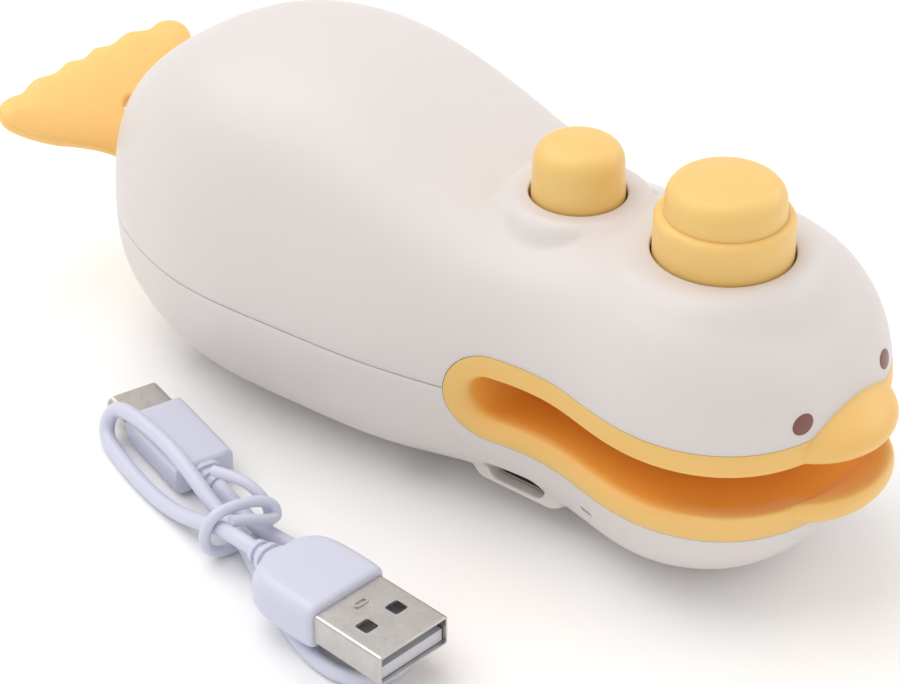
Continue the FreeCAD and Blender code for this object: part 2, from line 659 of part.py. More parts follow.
def make_a_shell():
    length, wide, high = A_SHELL
    outer = long_bar(A_SHELL, A_ROUNDING)
    shell = outer.cut(block(-length, 0, -wide / 2 + A_WALL, wide / 2 - A_WALL,
                            -high / 2 + A_WALL, high / 2 - A_WALL))
    rear, front, middle, half = A_WINDOWS
    for y in (-middle, middle):
        shell = shell.cut(block(rear, front, y - half, y + half, -high, high))
    return place(shell, A_TIP, A_ANGLE, A_Z)


def long_bar(size, rounding):
    """Bar that ends at x 0, with its long edges rounded."""
    length, wide, high = size
    bar = block(-length, 0, -wide / 2, wide / 2, -high / 2, high / 2)
    edges = [e for e in bar.Edges if abs(e.BoundBox.XLength - length) < 0.1]
    return bar.makeFillet(rounding, edges)


def relief(back, radii, length):
    """Tapered strain relief behind a plug's body, with a neck that reaches into the body."""
    cone = Part.makeCone(radii[0], radii[1], length, V(back, 0, 0), -X_AXIS)
    return cone.fuse(Part.makeCylinder(radii[0], 2.0, V(back, 0, 0), X_AXIS))


def make_a_insert():
    tip, half, low, top = A_TONGUE
    floor = -A_SHELL[2] / 2
    tongue = block(-A_SHELL[0], -tip, -half, half, floor + low, floor + top)
    return place(tongue, A_TIP, A_ANGLE, A_Z)


def make_a_body():
    front = -A_SHELL[0]
    back = front - A_BODY
    half, high = A_BODY_HALF
    taper, neck = A_NECK
    outline = [V(front, -half, -high), V(front, half, -high), V(back + taper, half, -high),
               V(back, neck, -high), V(back, -neck, -high), V(back + taper, -half, -high)]
    body = Part.Face(Part.makePolygon(outline + outline[:1])).extrude(V(0, 0, 2 * high))
    body = body.makeFillet(A_BODY_ROUNDING, body.Edges)
    return place(body.fuse(relief(back, A_RELIEF_R, A_RELIEF)), A_TIP, A_ANGLE, A_Z)


def make_c_shell():
    length, wide, high = C_SHELL
    side, cover = C_WALL
    room = block(-length + side, 0, -wide / 2 + side, wide / 2 - side, -high / 2 + cover,
                 high / 2 - cover)
    return place(long_bar(C_SHELL, C_ROUNDING).cut(room), C_TIP, C_ANGLE, C_Z)


def make_c_body():
    front = -C_SHELL[0]
    back = front - C_BODY
    half, high = C_BODY_HALF
    body = block(back, front, -half, half, -high, high)
    body = body.makeFillet(C_BODY_ROUNDING, body.Edges)
    return place(body.fuse(relief(back, C_RELIEF_R, C_RELIEF)), C_TIP, C_ANGLE, C_Z)


def make_tie():
    """Closed band of coated wire round the three strands."""
    low = TIE_R + 0.05
    high = TIE_HIGH
    corner = TIE_CORNER
    x, centre_y = TIE_PLACE
    y0 = centre_y - TIE_HALF
    y1 = centre_y + TIE_HALF
    bend = corner * (1 - math.sqrt(0.5))
    edges = [Part.LineSegment(V(x, y0 + corner, low), V(x, y1 - corner, low)),
             Part.Arc(V(x, y1 - corner, low), V(x, y1 - bend, low + bend), V(x, y1, low + corner)),
             Part.LineSegment(V(x, y1, low + corner), V(x, y1, high - corner)),
             Part.Arc(V(x, y1, high - corner), V(x, y1 - bend, high - bend),
                      V(x, y1 - corner, high)),
             Part.LineSegment(V(x, y1 - corner, high), V(x, y0 + corner, high)),
             Part.Arc(V(x, y0 + corner, high), V(x, y0 + bend, high - bend),
                      V(x, y0, high - corner)),
             Part.LineSegment(V(x, y0, high - corner), V(x, y0, low + corner)),
             Part.Arc(V(x, y0, low + corner), V(x, y0 + bend, low + bend),
                      V(x, y0 + corner, low))]
    path = Part.Wire([e.toShape() for e in edges])
    circle = Part.Circle(V(x, y0 + corner, low), Y_AXIS, TIE_R)
    band = path.makePipeShell([Part.Wire([circle.toShape()])], True, False)
    band.rotate(V(x, centre_y, 0), Z_AXIS, TIE_TURN)
    return band


def main():
    outer = casing()
    inner = casing(WALL)
    for side, name in ((-1, "eye_right"), (1, "eye_left")):
        save(eye_prism(side).common(outer).cut(casing(EYE_DEPTH)), name)
    save(make_upper_shell(outer, inner), "upper_shell")
    save(make_lower_shell(outer, inner), "lower_shell")
    save(make_mouth_liner(outer), "mouth_liner")
    save(make_anvil_pad(), "anvil_pad")
    save(make_charge_light(outer), "charge_light")
    save(make_tail(), "tail_loop")
    save(make_screws(), "casing_screws")
    save(make_feet(), "base_feet")
    save(make_receptacle(), "port_shell")
    save(make_port_tongue(), "port_tongue")
    save(make_board(), "control_board")
    save(make_battery(), "battery_cell")
    save(make_cradle(inner), "battery_cradle")
    save(make_battery_wires(), "battery_wires")
    save(make_guide_frame(), "guide_frame")
    save(make_seal_switch(), "seal_switch")
    save(make_seal_button(), "seal_button")
    save(make_plunger_stem(), "plunger_stem")
    save(make_heater_holder(), "heater_holder")
    save(make_heating_strip(), "heating_strip")
    save(make_heater_film(), "heater_film")
    save(spring(SEAL_X, PLATE_Z + PLATE_T, SEAL_BORE_TOP[1], SEAL_SPRING_R), "seal_spring")
    save(make_cutter_button(), "cutter_button")
    save(make_blade_carrier(), "blade_carrier")
    save(make_blade(), "cutter_blade")
    save(spring(CUT_X, PLATE_Z + PLATE_T, CUT_CEILING_Z, CUT_SPRING_R), "cutter_spring")
    save(make_a_shell(), "usb_a_shell")
    save(make_a_insert(), "usb_a_insert")
    save(make_a_body(), "usb_a_body")
    save(make_c_shell(), "usb_c_shell")
    save(make_c_body(), "usb_c_body")
    save(tube(CORD_ROUTE, CORD_R, "lead_cord"), "lead_cord")
    save(make_tie(), "lead_tie")


main()
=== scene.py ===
import math

import bmesh
import bpy
import numpy as np
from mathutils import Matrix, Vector


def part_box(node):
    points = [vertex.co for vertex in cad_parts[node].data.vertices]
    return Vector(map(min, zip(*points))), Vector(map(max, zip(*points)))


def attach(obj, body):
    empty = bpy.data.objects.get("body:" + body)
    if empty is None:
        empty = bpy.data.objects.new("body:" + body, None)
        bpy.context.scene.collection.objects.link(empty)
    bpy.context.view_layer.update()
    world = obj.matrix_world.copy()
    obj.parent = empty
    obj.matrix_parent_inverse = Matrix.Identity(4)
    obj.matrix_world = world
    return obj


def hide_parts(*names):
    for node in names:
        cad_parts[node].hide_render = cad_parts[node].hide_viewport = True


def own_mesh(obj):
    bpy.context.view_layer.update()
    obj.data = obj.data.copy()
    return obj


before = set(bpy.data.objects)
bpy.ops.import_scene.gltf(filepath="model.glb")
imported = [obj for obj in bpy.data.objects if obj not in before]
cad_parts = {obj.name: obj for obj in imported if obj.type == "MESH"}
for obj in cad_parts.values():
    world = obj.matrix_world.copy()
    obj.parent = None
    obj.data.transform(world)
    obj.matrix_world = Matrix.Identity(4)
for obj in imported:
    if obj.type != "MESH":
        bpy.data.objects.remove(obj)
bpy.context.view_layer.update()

# Looks of the handheld bag heat sealer. Shapes are worked out in millimetres in the CAD frame
# (+X toward the beak, +Z up, z 0 on the table) and become metres when their mesh is made.

MM = 0.001
SCENE = bpy.context.scene

# --- casing, as the CAD source has it -------------------------------------------------------
REAR_X = -54.2
LENGTH = 122.4
PARTING_Z = 21.5
PARTING_GAP = 0.15
WALL = 2.0
UPPER_FULLNESS = 0.76
LOWER_FULLNESS = 0.68
# Place along the length as a share of it, half width, height above and depth below the parting.
STATIONS = np.array([
    (0.00, 0.0, 0.0, 0.0),
    (0.00, 14.0, 17.0, 13.5),
    (0.10, 21.4, 28.0, 19.7),
    (0.22, 26.2, 31.5, 22.0),
    (0.35, 25.1, 31.2, 22.0),
    (0.48, 24.5, 24.5, 22.0),
    (0.60, 21.2, 20.1, 18.6),
    (0.72, 18.0, 22.6, 21.2),
    (0.86, 26.2, 28.0, 22.6),
    (1.00, 15.7, 14.2, 13.4),
    (1.00, 0.0, 0.0, 0.0),
])
DEGREE = 3

# --- mouth ----------------------------------------------------------------------------------
SLOT_HALF = 3.6
LINER_HALF = 6.85
SLOT_ARC_X = 24.2
NOSE_X = 50.0             # in front of it the liner's sections turn about (NOSE_X, 0)
LIP_X = 61.2
UPPER_LIP = (11.0, 11.4, 4.6)
UPPER_LIP_Z = 26.3
UPPER_LIP_CUT = 24.6
LOWER_LIP = (10.8, 12.4, 5.1)
LOWER_LIP_Z = 17.9        # its hollow is shallower, and its rim lower, than the CAD's
DISH_SHARE = 0.97         # the lower lip's hollow, as a share of the lip
DISH_DEPTH = 2.6
DISH_Z = 20.4
LIP_RIM_Z = 19.2
EYE_HALF = (1.55, 1.25)
EYE_START = (61.5, 5.9, 30.8)
EYE_TURN = 40.0

# --- buttons --------------------------------------------------------------------------------
SEAL_X = 46.2
SEAL_HOLE = 9.5
CUT_X = 22.9
CUT_HOLE = 6.65
SEAT_Z = 44.3             # top of the raised seat round the cutter button
SEAT_R = 8.4
LEVEL_Z = 44.6            # the skin is level round the seal button
LEVEL_R = (10.0, 16.5)    # level inside the first radius, as it was outside the second
SEAL_SPRING = (4.0, 6.2)  # mean radius, and how far the button presses it
CUT_SPRING = (4.2, 7.2)
SPRING_WIRE = 0.35
SPRING_TURNS = 6
SPRING_GAP = 0.15         # free space at each end
FOOT_SPOTS = [(-22.0, -6.5), (-22.0, 6.5), (41.8, -3.2), (41.8, 3.2)]
FOOT_R = 2.2
FOOT_HEIGHT = 0.9
BASE_Z = 0.25

# --- port and light -------------------------------------------------------------------------
PORT = (25.3, 7.1)        # x and z of its middle
PORT_FACE = 15.6          # distance of its boss's face from the middle plane
PORT_BOSS = (16.0, 5.6)
PORT_OPENING = (9.8, 3.7)  # 1 mm taller than the CAD's
PORT_RIM = 0.25           # rounding of its edge
LIGHT = (40.0, 10.6)
LIGHT_SIZE = (2.2, 0.9)
SCREW_SPOTS = [(-34.0, -14.0), (-34.0, 14.0), (8.0, -14.0), (8.0, 14.0)]
SCREW_HEAD_Z = 12.0

# --- tail -----------------------------------------------------------------------------------
TAIL_TILT = math.radians(32.0)
TAIL_T = 3.2
TAIL_HALF = [(6.3, -4.0), (6.5, 2.2), (7.9, 5.0), (11.2, 8.0), (14.9, 10.7), (17.9, 13.9),
             (19.3, 16.7), (18.3, 18.9), (15.8, 19.7), (13.4, 19.4), (9.7, 20.4), (5.9, 19.9),
             (2.8, 20.5)]
TAIL_TIP = 19.9
TAIL_HOLE = [(0, 4.0), (1.5, 4.9), (2.1, 7.2), (1.5, 9.6), (0, 10.5), (-1.5, 9.6),
             (-2.1, 7.2), (-1.5, 4.9)]
TAIL_CENTRE = 7.2

# --- charging lead --------------------------------------------------------------------------
CORD_R = 1.1
A_TIP = (37.6, -51.6)
A_ANGLE = -5.0
A_Z = 6.4
A_SHELL = (12.0, 12.0, 4.5)
A_BODY = 13.0
A_RELIEF = 4.5
C_TIP = (-33.0, -30.6)
C_ANGLE = 162.0
C_Z = 2.9
C_SHELL = (6.65, 8.25, 2.4)
C_BODY = 15.5
C_RELIEF = 3.5
A_REACH = A_SHELL[0] + A_BODY + A_RELIEF
C_REACH = C_SHELL[0] + C_BODY + C_RELIEF


def along(tip, angle, distance, height):
    a = math.radians(angle)
    return (tip[0] - distance * math.cos(a), tip[1] - distance * math.sin(a), height)


CORD_ROUTE = [
    along(A_TIP, A_ANGLE, A_REACH, A_Z),
    along(A_TIP, A_ANGLE, A_REACH + 3.8, A_Z),
    (0.4, -47.5, 5.3), (-4.4, -46.6, 3.4), (-9.8, -45.6, 1.7), (-15.4, -44.3, 1.15),
    (-20.6, -42.7, 1.15), (-25.4, -40.9, 1.15), (-29.6, -39.1, 1.2), (-31.0, -37.9, 2.5),
    (-30.7, -37.1, 4.5), (-29.1, -36.9, 5.9), (-25.2, -37.6, 6.5), (-20.0, -38.8, 6.6),
    (-14.6, -40.4, 6.6), (-9.4, -42.0, 5.4), (-4.2, -43.4, 3.7), (0.9, -44.7, 2.9),
    (5.6, -46.7, 1.7), (10.0, -49.2, 1.15), (14.8, -51.9, 1.15), (19.8, -54.3, 1.15),
    (25.0, -56.2, 1.15), (30.0, -56.4, 1.15), (33.9, -53.6, 1.15), (34.2, -48.8, 1.15),
    (30.9, -44.9, 1.15), (25.6, -42.6, 1.15), (20.0, -41.3, 1.15), (14.4, -40.6, 1.15),
    (9.0, -40.7, 1.3), (4.6, -41.4, 2.2), (0.6, -41.8, 2.9),
    along(C_TIP, C_ANGLE, C_REACH + 4.4, C_Z),
    along(C_TIP, C_ANGLE, C_REACH, C_Z),
]


# --- camera, light, floor -------------------------------------------------------------------

def make_camera():
    data = bpy.data.cameras.new("camera")
    data.lens = 113.1
    data.sensor_width = 36.0
    camera = bpy.data.objects.new("camera", data)
    SCENE.collection.objects.link(camera)
    camera.location = Vector((214.6, -259.7, 234.95)) * MM
    aim = Vector((0.94, 0.0, 10.85)) * MM - camera.location
    camera.rotation_euler = aim.to_track_quat("-Z", "Y").to_euler()
    SCENE.camera = camera


def make_light(name, place, aim, size, power, colour):
    data = bpy.data.lights.new(name, "AREA")
    data.shape = "RECTANGLE"
    data.size, data.size_y = size
    data.energy = power
    data.color = colour
    lamp = bpy.data.objects.new(name, data)
    SCENE.collection.objects.link(lamp)
    lamp.location = place
    lamp.rotation_euler = (Vector(aim) - Vector(place)).to_track_quat("-Z", "Y").to_euler()


def make_studio():
    world = bpy.data.worlds.new("studio")
    SCENE.world = world
    world.use_nodes = True
    back = world.node_tree.nodes["Background"]
    back.inputs["Color"].default_value = (1.0, 0.985, 0.975, 1)
    back.inputs["Strength"].default_value = 0.74
    make_light("key", (-0.35, -0.1, 0.8), (0, 0, 0.02), (0.9, 0.9), 4.4, (1.0, 0.985, 0.975))
    make_light("rim", (0.35, 0.65, 0.45), (0, 0, 0.03), (0.8, 0.4), 1.3, (1.0, 0.985, 0.98))
    make_light("front", (0.75, -0.45, 0.35), (0.02, 0, 0.02), (0.4, 0.5), 0.35, (1.0, 0.99, 0.98))
    mesh = bpy.data.meshes.new("floor")
    half = 4.0
    mesh.from_pydata([(-half, -half, 0), (half, -half, 0), (half, half, 0), (-half, half, 0)], [],
                     [(0, 1, 2, 3)])
    floor = bpy.data.objects.new("floor", mesh)
    SCENE.collection.objects.link(floor)
    floor.data.materials.append(plastic("floor_paper", (0.96, 0.96, 0.96), 0.85, grain=900,
                                        dent=0.00001))
    SCENE.view_settings.view_transform = "Standard"


# --- materials ------------------------------------------------------------------------------

def shader(name, stretch=(1, 1, 1)):
    """New material: itself, its nodes, links, surface and the object's coordinates."""
    material = bpy.data.materials.new(name)
    material.use_nodes = True
    nodes = material.node_tree.nodes
    links = material.node_tree.links
    mapping = nodes.new("ShaderNodeMapping")
    mapping.inputs["Scale"].default_value = stretch
    coordinates = nodes.new("ShaderNodeTexCoord").outputs["Object"]
    links.new(coordinates, mapping.inputs["Vector"])
    return material, nodes, links, nodes["Principled BSDF"], mapping.outputs["Vector"]


def relief(nodes, links, surface, height, strength, distance):
    bump = nodes.new("ShaderNodeBump")
    bump.inputs["Strength"].default_value = strength
    bump.inputs["Distance"].default_value = distance
    links.new(height, bump.inputs["Height"])
    links.new(bump.outputs["Normal"], surface.inputs["Normal"])


def noise(nodes, links, coordinates, scale, detail=4.0, roughness=0.55):
    texture = nodes.new("ShaderNodeTexNoise")
    texture.inputs["Scale"].default_value = scale
    texture.inputs["Detail"].default_value = detail
    texture.inputs["Roughness"].default_value = roughness
    links.new(coordinates, texture.inputs["Vector"])
    return texture.outputs["Fac"]


def span(nodes, links, value, low, high):
    """Maps the middle of a noise to a value from low to high."""
    ranged = nodes.new("ShaderNodeMapRange")
    ranged.inputs["From Min"].default_value = 0.3
    ranged.inputs["From Max"].default_value = 0.7
    ranged.inputs["To Min"].default_value = low
    ranged.inputs["To Max"].default_value = high
    links.new(value, ranged.inputs["Value"])
    return ranged.outputs["Result"]


def tint(nodes, links, value, dark, light):
    mix = nodes.new("ShaderNodeMix")
    mix.data_type = "RGBA"
    mix.inputs["A"].default_value = (*dark, 1)
    mix.inputs["B"].default_value = (*light, 1)
    links.new(value, mix.inputs["Factor"])
    return mix.outputs["Result"]


def shade(colour, factor):
    return tuple(min(1.0, c * factor) for c in colour)


def plastic(name, colour, roughness, grain=1400, dent=0.000012, subsurface=0.0, radius=(1, 1, 1),
            coat=0.0, mottle=0.03, stretch=(1, 1, 1)):
    """Moulded plastic: fine surface grain, slow changes of gloss, faint mottling of its colour."""
    material, nodes, links, surface, placed = shader(name, stretch)
    slow = noise(nodes, links, placed, 60, 3)
    fine = noise(nodes, links, placed, grain, 6, 0.6)
    colours = tint(nodes, links, slow, shade(colour, 1 - mottle), shade(colour, 1 + mottle))
    links.new(colours, surface.inputs["Base Color"])
    links.new(span(nodes, links, noise(nodes, links, placed, 220), roughness * 0.88,
                   roughness * 1.12), surface.inputs["Roughness"])
    relief(nodes, links, surface, fine, 0.35, dent)
    surface.inputs["IOR"].default_value = 1.49
    surface.inputs["Subsurface Weight"].default_value = subsurface
    surface.inputs["Subsurface Radius"].default_value = radius
    surface.inputs["Subsurface Scale"].default_value = 0.0025
    surface.inputs["Coat Weight"].default_value = coat
    surface.inputs["Coat Roughness"].default_value = 0.25
    return material


def metal(name, colour, roughness, grain=2600, dent=0.000006, stretch=(1, 1, 1)):
    """Sheet metal with fine rolling marks and uneven gloss."""
    material, nodes, links, surface, placed = shader(name, stretch)
    fine = noise(nodes, links, placed, grain, 5, 0.7)
    colours = tint(nodes, links, noise(nodes, links, placed, 420), shade(colour, 0.82),
                   shade(colour, 1.1))
    links.new(colours, surface.inputs["Base Color"])
    links.new(span(nodes, links, fine, roughness * 0.7, roughness * 1.35),
              surface.inputs["Roughness"])
    relief(nodes, links, surface, fine, 0.5, dent)
    surface.inputs["Metallic"].default_value = 1.0
    return material


def mix_in_painted_shade(material, name, deep):
    """Paints shade into the colour: mixes the material's colour toward a deep, darker one where the
    mesh's own "deep" value says so.
    """
    nodes = material.node_tree.nodes
    links = material.node_tree.links
    surface = nodes["Principled BSDF"]
    depth = nodes.new("ShaderNodeAttribute")
    depth.attribute_name = name
    mix = nodes.new("ShaderNodeMix")
    mix.data_type = "RGBA"
    links.new(surface.inputs["Base Color"].links[0].from_socket, mix.inputs["A"])
    mix.inputs["B"].default_value = (*deep, 1)
    links.new(depth.outputs["Fac"], mix.inputs["Factor"])
    links.new(mix.outputs["Result"], surface.inputs["Base Color"])


def board_green():
    """Solder mask with the trace pattern showing through it."""
    material, nodes, links, surface, coordinates = shader("board_mask")
    brick = nodes.new("ShaderNodeTexBrick")
    brick.inputs["Scale"].default_value = 260
    brick.inputs["Mortar Size"].default_value = 0.06
    brick.inputs["Color1"].default_value = (0.012, 0.12, 0.045, 1)
    brick.inputs["Color2"].default_value = (0.016, 0.16, 0.06, 1)
    brick.inputs["Mortar"].default_value = (0.03, 0.25, 0.09, 1)
    links.new(coordinates, brick.inputs["Vector"])
    links.new(brick.outputs["Color"], surface.inputs["Base Color"])
    links.new(span(nodes, links, noise(nodes, links, coordinates, 500), 0.28, 0.42),
              surface.inputs["Roughness"])
    relief(nodes, links, surface, brick.outputs["Fac"], 1.0, 0.00003)
    return material


WHITE = plastic("shell_white", (0.70, 0.655, 0.635), 0.40, grain=1500, dent=0.00001,
                subsurface=0.25, radius=(1.0, 0.75, 0.6), mottle=0.012)
YELLOW = plastic("liner_yellow", (0.84, 0.53, 0.165), 0.38, subsurface=0.3,
                 radius=(1.0, 0.5, 0.15), mottle=0.02)
BUTTON = plastic("button_yellow", (0.86, 0.56, 0.185), 0.38, subsurface=0.3,
                 radius=(1.0, 0.55, 0.2), mottle=0.02)
RUBBER = plastic("tail_yellow", (0.92, 0.58, 0.185), 0.50, grain=1100, dent=0.00002,
                 subsurface=0.35, radius=(1.0, 0.55, 0.2), mottle=0.025)
EYE = plastic("eye_brown", (0.20, 0.075, 0.06), 0.38, coat=0.2, mottle=0.12)
LENS = plastic("light_lens", (0.55, 0.53, 0.50), 0.25, mottle=0.05)
LEAD = plastic("lead_white", (0.62, 0.635, 0.76), 0.34, grain=1800, dent=0.000008,
               subsurface=0.2, radius=(0.8, 0.8, 1.0), mottle=0.015)
STEEL = metal("plug_steel", (0.60, 0.58, 0.56), 0.34)
SCREW = metal("screw_zinc", (0.55, 0.56, 0.58), 0.32)
SPRING = metal("spring_wire", (0.50, 0.50, 0.50), 0.28, stretch=(1, 1, 6))
BLADE = metal("blade_steel", (0.68, 0.69, 0.70), 0.20, stretch=(1, 8, 1))
STRIP = metal("heating_alloy", (0.52, 0.46, 0.40), 0.38, stretch=(6, 1, 1))
TONGUE = plastic("tongue_black", (0.012, 0.012, 0.013), 0.35, mottle=0.2)
WRAP = plastic("cell_wrap", (0.10, 0.22, 0.42), 0.30, coat=0.4, mottle=0.06)
INNER = plastic("inner_white", (0.72, 0.72, 0.70), 0.50, mottle=0.02)
WIRE = plastic("wire_red", (0.55, 0.03, 0.02), 0.42, mottle=0.05)
HOLDER = plastic("holder_black", (0.03, 0.03, 0.032), 0.55, mottle=0.15)
FILM = plastic("film_tan", (0.48, 0.32, 0.16), 0.45, grain=2400, dent=0.00004, mottle=0.08)
SILICONE = plastic("pad_silicone", (0.80, 0.45, 0.14), 0.60, dent=0.00003, mottle=0.03)
INSERT = plastic("insert_white", (0.60, 0.60, 0.66), 0.45, mottle=0.03)
FOOT = plastic("foot_rubber", (0.70, 0.69, 0.67), 0.50, dent=0.00002, mottle=0.04)
BOARD = board_green()
# painted shade: the liner's colour turns deep orange inside the mouth and in the lower lip's
# hollow, where shade and bounced light fall
mix_in_painted_shade(YELLOW, "deep", (0.98, 0.48, 0.08))


# --- mesh tools -----------------------------------------------------------------------------

def build(name, points, faces, sharp=40.0):
    """Mesh object from millimetres, with doubles merged and its faces turned outward."""
    mesh = bpy.data.meshes.new(name)
    mesh.from_pydata((np.asarray(points, float) * MM).tolist(), [], [list(f) for f in faces])
    form = bmesh.new()
    form.from_mesh(mesh)
    bmesh.ops.remove_doubles(form, verts=form.verts, dist=2e-6)
    bmesh.ops.dissolve_degenerate(form, edges=form.edges, dist=1e-6)
    loose = [v for v in form.verts if not v.link_faces]
    bmesh.ops.delete(form, geom=loose, context="VERTS")
    bmesh.ops.recalc_face_normals(form, faces=form.faces)
    form.to_mesh(mesh)
    form.free()
    obj = bpy.data.objects.new(name, mesh)
    SCENE.collection.objects.link(obj)
    smooth(obj, sharp)
    return obj


def smooth(obj, sharp):
    obj.data.shade_smooth()
    obj.data.set_sharp_from_angle(angle=math.radians(sharp))


def combine(obj, other, operation, sharp=40.0):
    """Adds other to obj ("UNION") or takes it away ("DIFFERENCE")."""
    modifier = obj.modifiers.new("combine", "BOOLEAN")
    modifier.object = other
    modifier.operation = operation
    modifier.solver = "EXACT"
    depsgraph = bpy.context.evaluated_depsgraph_get()
    mesh = bpy.data.meshes.new_from_object(obj.evaluated_get(depsgraph))
    obj.modifiers.clear()
    obj.data = mesh
    bpy.data.objects.remove(other)
    smooth(obj, sharp)


def finish_piece(obj, material, body, slot, *nodes):
    obj.data.materials.clear()
    obj.data.materials.append(material)
    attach(obj, body)
    if nodes:
        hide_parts(*nodes)
    return obj


def grid_faces(rows, columns, wrap=False):
    """Quads between points numbered row by row; wrap joins the last column to the first."""
    last = columns if wrap else columns - 1
    faces = []
    for i in range(rows - 1):
        for j in range(last):
            k = (j + 1) % columns
            faces.append((i * columns + j, i * columns + k, (i + 1) * columns + k,
                          (i + 1) * columns + j))
    return faces


def lathe(name, profile, x, y=0.0, segments=160, sharp=40.0):
    """Turns (radius, z) points about the vertical axis at x and y."""
    angles = np.linspace(0, 2 * math.pi, segments, endpoint=False)
    points = [(x + r * math.cos(a), y + r * math.sin(a), z) for r, z in profile for a in angles]
    return build(name, points, grid_faces(len(profile), segments, wrap=True), sharp)


def rounded(corners, steps=8):
    """Path through (a, b, rounding) corners, with an arc at each corner that has a rounding."""
    path = []
    for i, (a, b, radius) in enumerate(corners):
        here = Vector((a, b))
        if not radius or i in (0, len(corners) - 1):
            path.append((a, b))
            continue
        back = (Vector(corners[i - 1][:2]) - here).normalized()
        ahead = (Vector(corners[i + 1][:2]) - here).normalized()
        half = back.angle(ahead) / 2
        centre = here + (back + ahead).normalized() * (radius / math.sin(half))
        start = here + back * (radius / math.tan(half)) - centre
        end = here + ahead * (radius / math.tan(half)) - centre
        turn = math.pi - 2 * half
        if start.x * end.y - start.y * end.x < 0:
            turn = -turn
        for k in range(steps + 1):
            t = turn * k / steps
            path.append((centre.x + start.x * math.cos(t) - start.y * math.sin(t),
                         centre.y + start.x * math.sin(t) + start.y * math.cos(t)))
    return path


def smooth_max(a, b, soft):
    blend = np.maximum(soft - np.abs(a - b), 0) / soft
    return np.maximum(a, b) + blend * blend * soft / 4


def smooth_min(a, b, soft):
    return -smooth_max(-a, -b, soft)


def ease(value, low, high):
    """0 up to low, 1 from high on, smooth between."""
    t = np.clip((value - low) / (high - low), 0, 1)
    return t * t * (3 - 2 * t)


def between(p0, p1, p2, p3, t):
    """Smooth run from p1 to p2, with p0 and p3 beyond them."""
    return 0.5 * (2 * p1 + (p2 - p0) * t + (2 * p0 - 5 * p1 + 4 * p2 - p3) * t * t
                  + (3 * p1 - p0 - 3 * p2 + p3) * t ** 3)


def solve(rising, target, high=1.0, steps=42):
    """Where a rising function reaches target, between 0 and high."""
    target = np.asarray(target, float)
    low = np.zeros(target.shape)
    top = np.full(target.shape, float(high))
    for _ in range(steps):
        middle = (low + top) / 2
        under = rising(middle) < target
        low = np.where(under, middle, low)
        top = np.where(under, top, middle)
    return (low + top) / 2


# --- the casing's skin ----------------------------------------------------------------------

def basis(u):
    """Weights of the stations at places u of a clamped uniform cubic spline."""
    spans = len(STATIONS) - DEGREE
    knots = np.concatenate([np.zeros(DEGREE), np.linspace(0, 1, spans + 1), np.ones(DEGREE)])
    u = np.clip(np.asarray(u, float), 0, 1 - 1e-12)[..., None]
    weights = ((u >= knots[:-1]) & (u < knots[1:])).astype(float)
    for degree in range(1, DEGREE + 1):
        rise = knots[degree:-1] - knots[:-degree - 1]
        fall = knots[degree + 1:] - knots[1:-degree]
        up = (u - knots[:-degree - 1]) / np.where(rise > 0, rise, np.inf)
        down = (knots[degree + 1:] - u) / np.where(fall > 0, fall, np.inf)
        weights = up * weights[..., :-1] + down * weights[..., 1:]
    return weights


def section(u, inset=0.0):
    """x, half width, height above and depth below the parting plane at places u."""
    weights = basis(u)
    x = REAR_X + inset + (LENGTH - 2 * inset) * (weights @ STATIONS[:, 0])
    half, up, down = (weights @ np.maximum(STATIONS[:, k] - inset, 0) for k in (1, 2, 3))
    return x, half, up, down


PLACES = np.linspace(0, 1, 20001)
PLACE_X, _, PLACE_UP, PLACE_DOWN = section(PLACES)


def place_of(x, inset=0.0):
    share = (np.asarray(x, float) - REAR_X - inset) / (LENGTH - 2 * inset)
    return np.interp(share, (PLACE_X - REAR_X) / LENGTH, PLACES)


def quarter(s, full):
    """The section from its widest point, s 0, to its crown, s 1."""
    a = 1 - s
    wide = a ** 3 + 3 * a * a * s + 3 * a * s * s * full
    high = 3 * a * a * s * full + 3 * a * s * s + s ** 3
    return wide, high


def side(x, z, inset=0.0):
    """Half width of the casing at x and z, and less than 0 past its crown."""
    _, half, up, down = section(place_of(x, inset), inset)
    above = np.asarray(z) >= PARTING_Z
    reach = np.where(above, up, down)
    full = np.where(above, UPPER_FULLNESS, LOWER_FULLNESS)
    share = np.abs(z - PARTING_Z) / np.maximum(reach, 1e-6)
    s = solve(lambda t: quarter(t, full)[1], np.minimum(share, 1.0))
    return np.where(share < 1, half * quarter(s, full)[0], 1 - share)


def top(x, y, inset=0.0, upper=True):
    """Height of the skin at x and y, of the upper or the lower casing half."""
    _, half, up, down = section(place_of(x, inset), inset)
    reach, full = (up, UPPER_FULLNESS) if upper else (-down, LOWER_FULLNESS)
    share = np.minimum(np.abs(y) / np.maximum(half, 1e-6), 1.0)
    s = solve(lambda t: 1 - quarter(t, full)[0], 1 - share)
    return PARTING_Z + reach * quarter(s, full)[1]


def seat(x, y):
    """Round raised seat of the cutter button, which falls away outside SEAT_R."""
    beyond = np.maximum(np.hypot(x - CUT_X, y) - SEAT_R, 0)
    return SEAT_Z - 0.4 * beyond ** 2


def with_seats(x, y, z):
    """Upper skin height z with the level ground and the raised seat worked into it."""
    level = 1 - ease(np.hypot(x - SEAL_X, y), *LEVEL_R)
    z = z + (LEVEL_Z - z) * level
    return smooth_max(z, seat(x, y), 0.9)


def upper_skin(x, y):
    return with_seats(x, y, top(x, y))


def stadium_distance(x, z, centre, size):
    """Distance outside a lying oval with round ends; less than 0 inside it."""
    half = (size[0] - size[1]) / 2
    dx = np.maximum(np.abs(x - centre[0]) - half, 0)
    return np.hypot(dx, z - centre[1]) - size[1] / 2


def stadium_radius(angle, size):
    """Distance from the oval's middle to its outline in each direction."""
    r = size[1] / 2
    half = size[0] / 2 - r
    c = np.abs(np.cos(angle))
    s = np.abs(np.sin(angle))
    straight = r / np.maximum(s, 1e-9)
    cap = half * c + np.sqrt(np.maximum(r * r - (half * s) ** 2, 0))
    return np.where(straight * c <= half, straight, cap)


